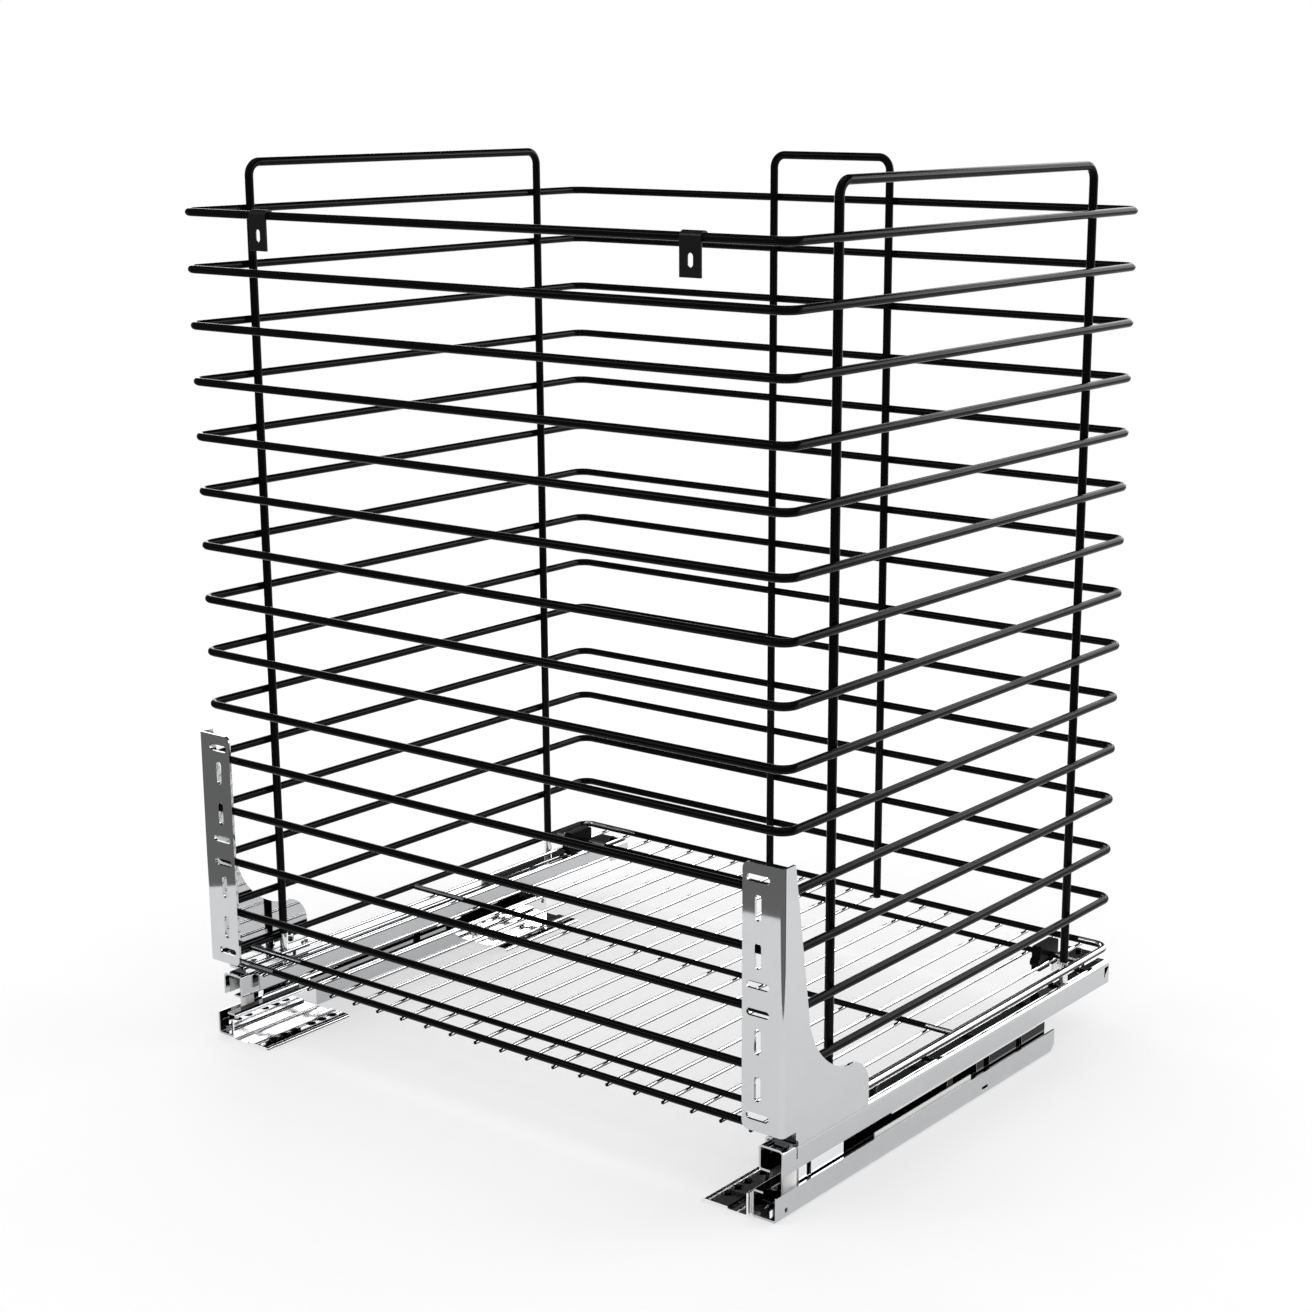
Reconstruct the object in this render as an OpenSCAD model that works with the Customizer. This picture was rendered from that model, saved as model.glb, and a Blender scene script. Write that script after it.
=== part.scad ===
// Pull out cabinet basket: a deep wire basket on a pair of full extension slides.
// Millimetres. +X right, -Y is the front, the way the basket pulls out, +Z up.
// Z = 0 is the underside of the cabinet rails; X = 0, Y = 0 is the middle of the basket.
// The basket is drawn closed. Everything on the basket body slides together.

/* [Basket] */
// Width across the centre lines of the rings
ring_w = 528.8; // [420:0.1:620]
// Depth across the centre lines of the rings
ring_d = 430.6; // [425:0.1:436]
// Centre line radius of the ring corners
ring_corner_r = 10; // [8:1:30]
// Diameter of the ring wire
ring_wire = 5.2; // [4:0.1:6]
// Height from one ring to the next
ring_pitch = 40; // [32:0.5:45]
// Height of the base frame's centre line above the cabinet rails' underside
base_z = 60.6; // [58.5:0.1:70]

/* [Basket floor] */
// Diameter of the thin floor wires
mesh_wire = 2.6; // [2:0.1:3]
// From the frame's side to the outermost floor wire
mesh_side = 24.4; // [22:0.1:27]
// Floor wires to each side of the middle one
mesh_half_count = 10; // [6:1:10]
// Diameter of the wires that cross the floor
cross_wire = 4.5; // [3.5:0.1:5]
// Distance between neighbouring cross wires
cross_pitch = 180.5; // [160:0.5:186]
// Depth position of the middle cross wire
cross_mid_y = -6.8; // [-12:0.1:0]

/* [Upright loops] */
// Diameter of the upright wire
upright_wire = 6.3; // [5:0.1:7]
// Centre line radius of the bends at the top of the loops
upright_bend_r = 10; // [8:1:20]
// Height of the loops' top centre line above the top ring
crossbar_rise = 33; // [20:1:60]
// Half the distance between the legs of a side loop
side_leg_y = 157; // [155:0.5:159]
// Half the distance between the legs of the rear loop
rear_leg_x = 54.5; // [53.5:0.1:66]

/* [Front tabs] */
// Width of a tab
tab_w = 16.6; // [12:0.1:20]
// Sheet thickness of a tab
tab_t = 1.5; // [1:0.1:2]
// How far a tab hangs below the top ring
tab_drop = 24; // [18:0.5:30]
// Middle of the right tab
tab_right_x = 193.6; // [150:0.1:205]
// Middle of the left tab, to the left of the basket's middle
tab_left_x = 183.6; // [150:0.1:205]
// Width of the screw slot in a tab
tab_slot_w = 4.5; // [3:0.1:6]
// Length of the screw slot in a tab
tab_slot_l = 8.7; // [7:0.1:12]

/* [Front brackets] */
// Sheet thickness of the brackets
bracket_t = 2; // [1.5:0.1:2.5]
// Outer radius of the bracket folds
bracket_fold_r = 3; // [2.6:0.1:3.5]
// Height of the front flange
flange_h = 180; // [176:1:185]
// Width of the front flange, over the fold
flange_w = 32.5; // [30:0.5:36]
// Distance from the ring's front to the flange's back face
flange_gap = 2.6; // [1:0.1:4]
// Width of the gusset along its top edge, from the flange's face
gusset_top_w = 12.1; // [8:0.1:16]
// Depth of the gusset's foot, from the flange's face
gusset_depth = 98.3; // [96:0.1:102]
// Radius of the hollow curve between the flange and the foot
gusset_hollow_r = 58; // [56:1:60]
// Radius of the rounded lobe at the rear of the foot
gusset_lobe_r = 22; // [20:1:23]
// Distance from the foot's rear end to the middle of the hollow curve
gusset_hollow_y = 12.8; // [10:0.1:14]
// Height of the hollow curve's middle above the foot
gusset_hollow_z = 94.85; // [94:0.05:96]
// Width of the foot flange that lies on the rail
foot_w = 19; // [16:0.5:21]
// Width of the screw slots in the flange
front_slot_w = 5; // [4:0.1:6]
// Length of the upright screw slots
front_slot_v = 17.5; // [12:0.5:18.5]
// Length of the level screw slots
front_slot_h = 18; // [12:0.5:18.5]
// Offsets of the level slots above and below the flange's middle
front_slot_h_z = [9.25, 80];
// Offsets of the upright slots above and below the flange's middle
front_slot_v_z = [28.8, 60.8];
// Diameter of the screws that hold a bracket to its rail
foot_screw_d = 4; // [3:0.5:5]
// Diameter of those screws' heads
foot_screw_head_d = 8; // [7:0.5:9]
// Height of those screws' heads
foot_screw_head_h = 2.2; // [1.5:0.1:2.6]

/* [Slides] */
// How far the rails' outer faces stand beyond the side wires' centre lines
rail_proud = 0.1; // [0:0.1:1]
// Width of one rail section
rail_w = 20; // [20:0.5:22]
// Sheet thickness of the rails
rail_t = 1.5; // [1.2:0.1:1.6]
// Outer radius of the rail folds
fold_r = 2.5; // [2:0.1:2.6]
// Height of the basket rail's top face
basket_rail_top = 47.6; // [47:0.1:48]
// Height of the basket rail section
basket_rail_h = 17.5; // [17:0.1:17.8]
// Length of the basket rail
basket_rail_l = 433.5; // [430:0.5:436]
// Front end of the basket rail
basket_rail_front = -214.5; // [-216:0.1:-212]
// Height of the cabinet rail's outer wall
cabinet_rail_h = 17.6; // [16:0.1:18]
// Height of the cabinet rail's inner wall
cabinet_web_h = 19.6; // [19:0.1:20]
// Length of the cabinet rail
cabinet_rail_l = 357.5; // [355:0.5:365]
// Front end of the cabinet rail
cabinet_rail_front = -222; // [-223:0.1:-220]
// Width of the turned-in lips that hold the middle rail
lip_w = 9; // [7:0.1:9.5]
// Distance from the rails' outer face to the middle rail's
middle_inset = 3; // [2.9:0.1:3.2]
// Length of the middle rail
middle_rail_l = 319; // [315:0.5:320]
// Front end of the middle rail
middle_rail_front = -193.5; // [-194:0.1:-193]
// Length of the long window in the middle rail's outer wall
window_l = 130; // [118:0.5:134]
// Length of the short windows in the middle rail's outer wall
short_window_l = 8; // [6:0.5:10]
// Width of the step along the inner side of the basket rail
step_w = 5; // [4:0.1:5.5]
// Height of that step
step_h = 13; // [10:0.1:13.5]
// How far the basket pulls out
travel = 430; // [380:1:432]

/* [Roller cages] */
// Diameter of the rollers
roller_d = 3.6; // [3.4:0.1:3.8]
// Length of the rollers
roller_l = 8.5; // [6:0.1:8.8]
// Rollers at each end of a cage
roller_count = 4; // [2:1:5]
// Distance between neighbouring rollers
roller_pitch = 6; // [5.5:0.1:8]
// Thickness of the cage walls
cage_t = 0.9; // [0.8:0.1:0.95]
// Front end of the upper cage
upper_cage_front = -85; // [-85.5:0.5:-80]
// Length of the upper cage
upper_cage_l = 196; // [120:1:196]
// Front end of the lower cage
lower_cage_front = -106; // [-107:1:-104]
// Length of the lower cage
lower_cage_l = 124; // [80:1:124]

/* [Mounting plates] */
// Width of a mounting plate, inwards from its rail
pad_w = 38; // [34:0.5:44]
// Length of the front mounting plate
front_pad_l = 85.5; // [84:0.5:90]
// How far the front mounting plate stands out in front of its rail
front_pad_out = 3.5; // [2:0.1:4]
// Length of the rear mounting plate
rear_pad_l = 92.5; // [84:0.5:100]
// Diameter of the screw holes in the plates
pad_hole_d = 5; // [4:0.1:6]
// Distance from a rail's inner face to the line of screw holes
pad_hole_in = 28; // [24:0.1:30]
// Distance between neighbouring screw holes
pad_hole_pitch = 11; // [9:0.1:11]
// Distance between the middles of the two groups of three holes
pad_group_pitch = 39; // [36:0.5:39]
// How far the strip with the holes stands above the rest of a plate
pad_step_h = 1.5; // [1.1:0.1:2]
// Distance from a rail's inner face to that step
pad_step_in = 16; // [14:0.5:18]
// Height of a plate's upright flange
pad_flange_h = 17; // [13:0.5:17]

/* [Rear fittings] */
// Rear end of the hook blocks
hook_rear = 225.5; // [224:0.1:227]
// Depth of a hook block
hook_d = 24; // [20:0.5:26]
// How far a hook block stands inwards from its rail
hook_in = 21; // [18:0.5:22]
// How far it reaches over the rail's top
hook_over = 8; // [6:0.5:9]
// Height of a hook block
hook_h = 14; // [12:0.5:16]
// Length of a wire clip
clip_l = 28; // [26:0.5:32]
// Width of a wire clip
clip_w = 7.6; // [6.5:0.1:8.5]
// Height of a wire clip
clip_h = 19.3; // [18.5:0.1:20]
// How far a clip hangs below the floor wires
clip_drop = 4; // [3.5:0.1:4.2]
// How far a clip reaches behind the cross wire it grips
clip_behind = 10.5; // [9:0.5:11.5]

/* [Hidden] */
$fn = 36;
// Daylight between welded or resting pieces, so that each stays a solid of its own.
weld_gap = 0.05;
// Clearance between bodies that slide past each other.
run_gap = 0.3;
// How far one cutter passes through the face it opens.
cut = 1;

ring_count = 14;
half_w = ring_w / 2;
half_d = ring_d / 2;
ring_out = half_w + ring_wire / 2;
ring_in = half_w - ring_wire / 2;
top_ring_z = base_z + ring_pitch * ring_count;

mesh_pitch = (half_w - mesh_side) / mesh_half_count;
mesh_z = base_z - (ring_wire + mesh_wire) / 2 - weld_gap;
cross_z = mesh_z + (mesh_wire + cross_wire) / 2 + weld_gap;

upright_in = (ring_wire + upright_wire) / 2 + weld_gap;
side_loop_x = half_w - upright_in;
rear_loop_y = half_d - upright_in;
crossbar_z = top_ring_z + crossbar_rise;
side_foot_z = basket_rail_top + weld_gap;
rear_foot_z = base_z - ring_wire / 2;

rail_out = half_w + rail_proud;
rail_in = rail_out - rail_w;
rail_mid = rail_out - rail_w / 2;
basket_rail_bottom = basket_rail_top - basket_rail_h;
basket_rail_rear = basket_rail_front + basket_rail_l;
cabinet_rail_rear = cabinet_rail_front + cabinet_rail_l;
middle_rail_rear = middle_rail_front + middle_rail_l;
middle_top = basket_rail_top - rail_t - roller_d - 2 * run_gap;
middle_bottom = rail_t + roller_d + 2 * run_gap;
middle_out = rail_out - middle_inset;
middle_in = rail_in + middle_inset;

bracket_in = ring_out + weld_gap;
bracket_out = bracket_in + bracket_t;
flange_back = -half_d - ring_wire / 2 - flange_gap;
flange_front = flange_back - bracket_t;
flange_z = base_z - 0.6;
flange_mid = flange_z + flange_h / 2;
flange_top = flange_z + flange_h;
front_slot_x = bracket_out - flange_w + 12.3;
foot_z = basket_rail_top + weld_gap;
foot_top = foot_z + bracket_t;
foot_front = flange_front + 17.5;
foot_rear = flange_front + gusset_depth;
foot_screw_x = rail_mid + 0.15 * rail_w;
foot_screw_y = [foot_front + 3.5 * foot_screw_d, foot_rear - 2.75 * foot_screw_d];

front_pad_front = cabinet_rail_front - front_pad_out;
rear_pad_front = cabinet_rail_rear - rear_pad_l;
pad_web_x = rail_in - weld_gap;
pad_top = rail_t + pad_step_h;

// Windows of the middle rail: distance from its front or rear end, and length.
front_windows = [[9, 5], [51.5, window_l]];
rear_windows = [[130, 4 * short_window_l], [88, short_window_l], [42, short_window_l]];

clip_out = mesh_pitch * mesh_half_count - mesh_wire / 2 - 2 * weld_gap;
clip_z = mesh_z - mesh_wire / 2 - clip_drop;

// ---- shared shapes ----

// Children are drawn for the right side; "left" mirrors them.
module on_side(side) {
    if (side == "left")
        mirror([1, 0, 0])
            children();
    else
        children();
}

// Straight wire from one end along an axis given by turn.
module rod(start, turn, l, d) {
    translate(start)
        rotate(turn)
            cylinder(h = l, d = d);
}

// Quarter bend of wire about (x, y), starting at angle a.
module bend(x, y, r, a, d) {
    translate([x, y, 0])
        rotate([0, 0, a])
            rotate_extrude(angle = 90)
                translate([r, 0])
                    circle(d = d);
}

// Closed rectangular ring of wire with round corners, in the plane z = 0.
module wire_ring(w, d, r, wire) {
    x = w / 2;
    y = d / 2;
    for (s = [-1, 1]) {
        rod([r - x, s * y, 0], [0, 90, 0], w - 2 * r, wire);
        rod([s * x, r - y, 0], [-90, 0, 0], d - 2 * r, wire);
    }
    bend(x - r, y - r, r, 0, wire);
    bend(r - x, y - r, r, 90, wire);
    bend(r - x, r - y, r, 180, wire);
    bend(x - r, r - y, r, 270, wire);
}

// Upside-down U of wire in the XY plane: legs along -Y, crossbar centre line at y = 0.
module wire_loop(half, leg, r, wire) {
    rod([r - half, 0, 0], [0, 90, 0], 2 * (half - r), wire);
    for (s = [-1, 1])
        rod([s * half, -leg, 0], [-90, 0, 0], leg - r, wire);
    bend(half - r, -r, r, 0, wire);
    bend(r - half, -r, r, 90, wire);
}

// Straight slot cut along Z, its length along Y (or X when lying).
module slot_cut(w, l, h, lying = false) {
    rotate([0, 0, lying ? 90 : 0]) {
        translate([-w / 2, -(l - w) / 2, 0])
            cube([w, l - w, h]);
        for (s = [-1, 1])
            translate([0, s * (l - w) / 2, 0])
                cylinder(h = h, d = w);
    }
}

// Cutter through a wall that faces the front, slot length up (or level when lying).
module front_cut(x, y, z, w, l, depth, lying = false) {
    translate([x, y, z])
        rotate([-90, 0, 0])
            slot_cut(w, l, depth, lying);
}

// Flat leg of a sheet section between two corners.
module leg(x1, z1, x2, z2) {
    translate([x1, z1])
        square([x2 - x1, z2 - z1]);
}

// Fold of a sheet section: a quarter ring about (x, z), turned by quarters q.
module fold(x, z, r, t, q) {
    translate([x, z])
        rotate(90 * q)
            intersection() {
                difference() {
                    circle(r = r);
                    circle(r = r - t);
                }
                square(r + cut);
            }
}

// Sheet section drawn in X and Z, run from y = front over length l.
module run_y(front, l) {
    translate([0, front + l, 0])
        rotate([90, 0, 0])
            linear_extrude(height = l)
                children();
}

// Outline drawn in Y and Z, run from x = start over width w.
module run_x(start, w) {
    translate([start, 0, 0])
        rotate([90, 0, 90])
            linear_extrude(height = w)
                children();
}

// ---- basket ----

// Ring number i, counted from the bottom.
module ring(i) {
    color([0.06, 0.06, 0.07])
        translate([0, 0, base_z + ring_pitch * i])
            wire_ring(ring_w, ring_d, ring_corner_r, ring_wire);
}

module base_frame() {
    color([0.06, 0.06, 0.07])
        translate([0, 0, base_z])
            wire_ring(ring_w, ring_d, ring_corner_r, ring_wire);
}

// Floor wires, front to back under the base frame, flush with its outer edge.
module mesh_wires() {
    color([0.08, 0.08, 0.09])
        for (i = [-mesh_half_count : mesh_half_count])
            rod([mesh_pitch * i, -half_d - ring_wire / 2, mesh_z], [-90, 0, 0],
                ring_d + ring_wire, mesh_wire);
}

// Cross wire k: -1 front, 0 middle, 1 rear. It lies on the floor wires inside the frame.
module cross_wires(k) {
    color([0.06, 0.06, 0.07])
        rod([weld_gap - ring_in, cross_mid_y + cross_pitch * k, cross_z], [0, 90, 0],
            2 * (ring_in - weld_gap), cross_wire);
}

module upright_loop_side(side) {
    color([0.05, 0.05, 0.06])
        on_side(side)
            translate([side_loop_x, 0, crossbar_z])
                rotate([90, 0, 90])
                    wire_loop(side_leg_y, crossbar_z - side_foot_z, upright_bend_r, upright_wire);
}

module upright_loop_rear() {
    color([0.05, 0.05, 0.06])
        translate([0, rear_loop_y, crossbar_z])
            rotate([90, 0, 0])
                wire_loop(rear_leg_x, crossbar_z - rear_foot_z, upright_bend_r, upright_wire);
}

// Sheet tab hooked over the front wire of the top ring.
module front_tab(x) {
    inner = ring_wire / 2 + weld_gap;
    outer = inner + tab_t;
    color([0.07, 0.07, 0.08])
        difference() {
            translate([x - tab_w / 2, -half_d, top_ring_z])
                run_x(0, tab_w) {
                    intersection() {
                        difference() {
                            circle(r = outer);
                            circle(r = inner);
                        }
                        translate([-outer - cut, 0])
                            square([2 * (outer + cut), outer + cut]);
                    }
                    translate([-outer, -tab_drop])
                        square([tab_t, tab_drop]);
                    translate([inner, -inner])
                        square([tab_t, inner]);
                }
            front_cut(x, -half_d - outer - cut, top_ring_z - tab_drop + 10.5,
                tab_slot_w, tab_slot_l, tab_t + 2 * cut);
        }
}

// ---- front brackets ----

// Side view of the gusset: tall flange edge, hollow curve, foot with a round lobe.
module gusset_outline() {
    hollow = [foot_rear - gusset_hollow_y, foot_z + gusset_hollow_z];
    lobe = [foot_rear - gusset_lobe_r, foot_z + 16.35];
    bottom = foot_z + bracket_fold_r;
    difference() {
        polygon([
            [flange_front, flange_z], [flange_front, flange_top],
            [flange_front + gusset_top_w, flange_top],
            [hollow[0] - gusset_hollow_r, hollow[1] - 2.5],
            [lobe[0], hollow[1] - gusset_hollow_r + 5], [lobe[0], bottom],
            [foot_front, bottom], [foot_front, flange_z]
        ]);
        translate(hollow)
            circle(r = gusset_hollow_r);
    }
    intersection() {
        translate(lobe)
            circle(r = gusset_lobe_r);
        translate([lobe[0] - gusset_lobe_r, lobe[1]])
            square([2 * gusset_lobe_r, gusset_lobe_r]);
    }
    leg(lobe[0] - gusset_lobe_r, bottom, foot_rear, lobe[1]);
}

// Plan view of the flange, its fold and the gusset plate.
module bracket_plan() {
    c = [bracket_out - bracket_fold_r, flange_front + bracket_fold_r];
    leg(bracket_out - flange_w, flange_front, c[0], flange_back);
    fold(c[0], c[1], bracket_fold_r, bracket_t, 3);
    leg(bracket_in, c[1], bracket_out, foot_rear);
}

module front_bracket(side) {
    color([0.72, 0.73, 0.75])
        on_side(side)
            difference() {
                union() {
                    intersection() {
                        translate([0, 0, foot_z])
                            linear_extrude(height = flange_top - foot_z)
                                bracket_plan();
                        run_x(bracket_out - flange_w - cut, flange_w + 2 * cut)
                            gusset_outline();
                    }
                    bracket_foot();
                }
                bracket_slots();
                flange_corner(flange_z, 0);
                flange_corner(flange_top, -90);
            }
}

// Foot flange turned inwards onto the basket rail, notched round the loop's leg.
module bracket_foot() {
    c = [bracket_out - bracket_fold_r, foot_z + bracket_fold_r];
    difference() {
        run_y(foot_front, foot_rear - foot_front) {
            leg(bracket_out - foot_w, foot_z, c[0], foot_top);
            fold(c[0], c[1], bracket_fold_r, bracket_t, 3);
        }
        translate([side_loop_x, -side_leg_y, foot_z - cut]) {
            cylinder(h = bracket_t + 2 * cut, d = upright_wire + 2);
            translate([-foot_w, -upright_wire / 2 - 1, 0])
                cube([foot_w, upright_wire + 2, bracket_t + 2 * cut]);
        }
        for (y = foot_screw_y)
            translate([foot_screw_x, y, foot_z - cut])
                cylinder(h = bracket_t + 2 * cut, d = foot_screw_d + 2 * weld_gap);
    }
}

module bracket_slots() {
    y = flange_front - cut;
    for (s = [-1, 1]) {
        for (z = front_slot_h_z)
            front_cut(front_slot_x, y, flange_mid + s * z, front_slot_w, front_slot_h,
                bracket_t + 2 * cut, true);
        for (z = front_slot_v_z)
            front_cut(front_slot_x, y, flange_mid + s * z, front_slot_w, front_slot_v,
                bracket_t + 2 * cut);
    }
}

// Rounds the flange's inner corner at height z.
module flange_corner(z, a) {
    r = 5;
    translate([bracket_out - flange_w, flange_front - cut, z])
        rotate([-90, 0, 0])
            rotate([0, 0, -90 - a])
                linear_extrude(height = bracket_t + 2 * cut)
                    difference() {
                        translate([-cut, -cut])
                            square(r + cut);
                        translate([r, r])
                            circle(r = r);
                    }
}

// Screws that hold the bracket feet to the basket rails.
module bracket_screws() {
    shank_bottom = basket_rail_top - rail_t;
    color([0.6, 0.6, 0.62])
        for (side = ["left", "right"])
            on_side(side)
                for (y = foot_screw_y)
                    translate([foot_screw_x, y, 0])
                        difference() {
                            union() {
                                translate([0, 0, shank_bottom])
                                    cylinder(h = foot_top + weld_gap - shank_bottom + cut,
                                        d = foot_screw_d);
                                translate([0, 0, foot_top + weld_gap])
                                    cylinder(h = foot_screw_head_h, d1 = foot_screw_head_d,
                                        d2 = foot_screw_head_d - 1.6);
                            }
                            screw_cross(foot_top + weld_gap + 0.45 * foot_screw_head_h);
                        }
}

// Cross recess cut down to height z.
module screw_cross(z) {
    w = foot_screw_head_d / 8;
    for (a = [0, 90])
        rotate([0, 0, a])
            translate([-w / 2, -2 * w, z])
                cube([w, 4 * w, foot_screw_head_h]);
}

// ---- slides ----

// Basket rail section: channel open downwards, lip under its inner wall, inner step.
module basket_rail_section() {
    t = rail_t;
    b = basket_rail_bottom;
    c = basket_rail_top - fold_r;
    leg(rail_out - t, b, rail_out, c);
    fold(rail_out - fold_r, c, fold_r, t, 0);
    leg(rail_in + fold_r, basket_rail_top - t, rail_out - fold_r, basket_rail_top);
    fold(rail_in + fold_r, c, fold_r, t, 1);
    leg(rail_in, b + fold_r, rail_in + t, c);
    fold(rail_in + fold_r, b + fold_r, fold_r, t, 2);
    leg(rail_in + fold_r, b, rail_in + lip_w, b + t);
}

module basket_rail(side) {
    step_front = basket_rail_front + 14;
    step_rear = basket_rail_rear - 18;
    color([0.7, 0.71, 0.73])
        on_side(side)
            difference() {
                union() {
                    run_y(basket_rail_front, basket_rail_l)
                        basket_rail_section();
                    run_y(step_front, step_rear - step_front) {
                        c = [rail_in - step_w + fold_r, basket_rail_top - fold_r - 0.5];
                        leg(c[0], c[1] + fold_r - rail_t, rail_in + rail_t, c[1] + fold_r);
                        fold(c[0], c[1], fold_r, rail_t, 1);
                        leg(rail_in - step_w, c[1] + fold_r - step_h, rail_in - step_w + rail_t, c[1]);
                    }
                }
                basket_rail_cuts();
            }
}

module basket_rail_cuts() {
    wall = rail_out - rail_t - cut;
    through = rail_t + 2 * cut;
    // relief slit near the front, through the upper part of the outer wall
    translate([wall, basket_rail_front + 14, basket_rail_bottom + 7])
        cube([through, 1.2, basket_rail_h]);
    // L-shaped slit at the rear of the outer wall
    translate([wall, basket_rail_rear - 7, basket_rail_bottom + 5.5])
        cube([through, 1.4, 8]);
    translate([wall, basket_rail_rear - 7, basket_rail_bottom + 12.1])
        cube([through, 7 + cut, 1.4]);
    // holes in the top face
    for (p = [[foot_screw_x, foot_screw_y[0]], [foot_screw_x, foot_screw_y[1]]])
        translate([p[0], p[1], basket_rail_top - rail_t - cut])
            cylinder(h = rail_t + 2 * cut, d = foot_screw_d + 2 * weld_gap);
    translate([rail_out - 6.5, basket_rail_rear - 5, basket_rail_top - rail_t - cut])
        cylinder(h = rail_t + 2 * cut, d = 4);
}

// Middle rail section: tall outer wall, arms reaching in above and below both lips.
module middle_rail_section() {
    t = rail_t;
    b = middle_bottom;
    c = middle_top - fold_r;
    return_top = basket_rail_bottom + rail_t + 1.4;
    return_bottom = cabinet_web_h - rail_t - 1.4;
    leg(middle_out - t, b + fold_r, middle_out, c);
    fold(middle_out - fold_r, c, fold_r, t, 0);
    fold(middle_out - fold_r, b + fold_r, fold_r, t, 3);
    leg(middle_in + fold_r, middle_top - t, middle_out - fold_r, middle_top);
    leg(middle_in + fold_r, b, middle_out - fold_r, b + t);
    fold(middle_in + fold_r, c, fold_r, t, 1);
    fold(middle_in + fold_r, b + fold_r, fold_r, t, 2);
    leg(middle_in, return_top, middle_in + t, c);
    leg(middle_in, b + fold_r, middle_in + t, return_bottom);
}

module middle_rail(side) {
    color([0.62, 0.63, 0.65])
        on_side(side)
            difference() {
                run_y(middle_rail_front, middle_rail_l)
                    middle_rail_section();
                // windows in the outer wall, between the two channels
                for (w = front_windows)
                    middle_window(middle_rail_front + w[0], w[1]);
                for (w = rear_windows)
                    middle_window(middle_rail_rear - w[0], w[1]);
            }
}

module middle_window(y, l) {
    translate([middle_out - rail_t - cut, y, cabinet_rail_h + 1])
        cube([rail_t + 2 * cut, l, basket_rail_bottom - cabinet_rail_h - 2]);
}

// Round-nosed stop pushed against the front end of the middle rail.
module middle_stop(side) {
    r = 5.2;
    x = middle_out + 1 - r;
    x1 = rail_in + lip_w + 0.5;
    z1 = middle_bottom + 4;
    color([0.05, 0.05, 0.05])
        on_side(side)
            intersection() {
                translate([x, middle_rail_front - weld_gap - r, z1])
                    cylinder(h = middle_top - 4 - z1, r = r);
                translate([x1, middle_rail_front - 3 * r, z1])
                    cube([2 * r, 4 * r, middle_top - 4 - z1]);
            }
}

// Cabinet rail section: channel open upwards, lip turned out from its inner wall.
module cabinet_rail_section() {
    t = rail_t;
    h = cabinet_web_h;
    leg(rail_out - t, fold_r, rail_out, cabinet_rail_h);
    fold(rail_out - fold_r, fold_r, fold_r, t, 3);
    leg(rail_in + fold_r, 0, rail_out - fold_r, t);
    fold(rail_in + fold_r, fold_r, fold_r, t, 2);
    leg(rail_in, fold_r, rail_in + t, h - fold_r);
    fold(rail_in + fold_r, h - fold_r, fold_r, t, 1);
    leg(rail_in + fold_r, h - t, rail_in + lip_w, h);
}

module cabinet_rail(side) {
    wall = rail_out - rail_t - cut;
    through = rail_t + 2 * cut;
    color([0.7, 0.71, 0.73])
        on_side(side)
            difference() {
                run_y(cabinet_rail_front, cabinet_rail_l)
                    cabinet_rail_section();
                // chamfered lower corner at the rear of the outer wall
                translate([wall, cabinet_rail_rear, 0])
                    rotate([45, 0, 0])
                        translate([0, -4.5, -4.5])
                            cube([through, 9, 9]);
                // slot and notch in the outer wall
                translate([wall, 31, 4.4])
                    cube([through, 8, 2.4]);
                translate([wall, cabinet_rail_front + 9, 4.4])
                    cube([through, 3, 3]);
            }
}

// Roller cage in the plane z = 0: slotted strip with a leaf down each side.
module cage(l, leaf_in, leaf_out) {
    x1 = rail_in + rail_t + run_gap;
    x2 = rail_out - rail_t - run_gap;
    difference() {
        union() {
            translate([x1, 0, -cage_t / 2])
                cube([x2 - x1, l, cage_t]);
            translate([x1, 0, -leaf_in])
                cube([cage_t, l, leaf_in]);
            translate([x2 - cage_t, 0, -leaf_out])
                cube([cage_t, l, leaf_out]);
        }
        cage_rollers(l, 0.2);
        // long lightening slot between the two roller groups
        translate([rail_mid, l / 2, -cage_t])
            slot_cut(6, l - 2 * (roller_count + 2) * roller_pitch, 2 * cage_t);
    }
}

// Rollers of one cage, or their windows when grown by g.
module cage_rollers(l, g) {
    for (i = [1 : roller_count], y = [roller_pitch * i, l - roller_pitch * i])
        translate([rail_mid - roller_l / 2 - g / 2, y, 0])
            rotate([0, 90, 0])
                cylinder(h = roller_l + g, d = roller_d + g);
}

upper_roller_z = middle_top + run_gap + roller_d / 2;
lower_roller_z = rail_t + run_gap + roller_d / 2;

module upper_cage(side) {
    color([0.82, 0.83, 0.84])
        on_side(side)
            translate([0, upper_cage_front, upper_roller_z])
                cage(upper_cage_l, 8, upper_roller_z - basket_rail_bottom + 3);
}

module lower_cage(side) {
    color([0.82, 0.83, 0.84])
        on_side(side)
            translate([0, lower_cage_front, lower_roller_z])
                mirror([0, 0, 1])
                    cage(lower_cage_l, 8, cabinet_rail_h - lower_roller_z + 3);
}

module upper_rollers() {
    color([0.75, 0.76, 0.78])
        for (side = ["left", "right"])
            on_side(side)
                translate([0, upper_cage_front, upper_roller_z])
                    cage_rollers(upper_cage_l, 0);
}

module lower_rollers() {
    color([0.75, 0.76, 0.78])
        for (side = ["left", "right"])
            on_side(side)
                translate([0, lower_cage_front, lower_roller_z])
                    cage_rollers(lower_cage_l, 0);
}

// ---- mounting plates ----

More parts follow.
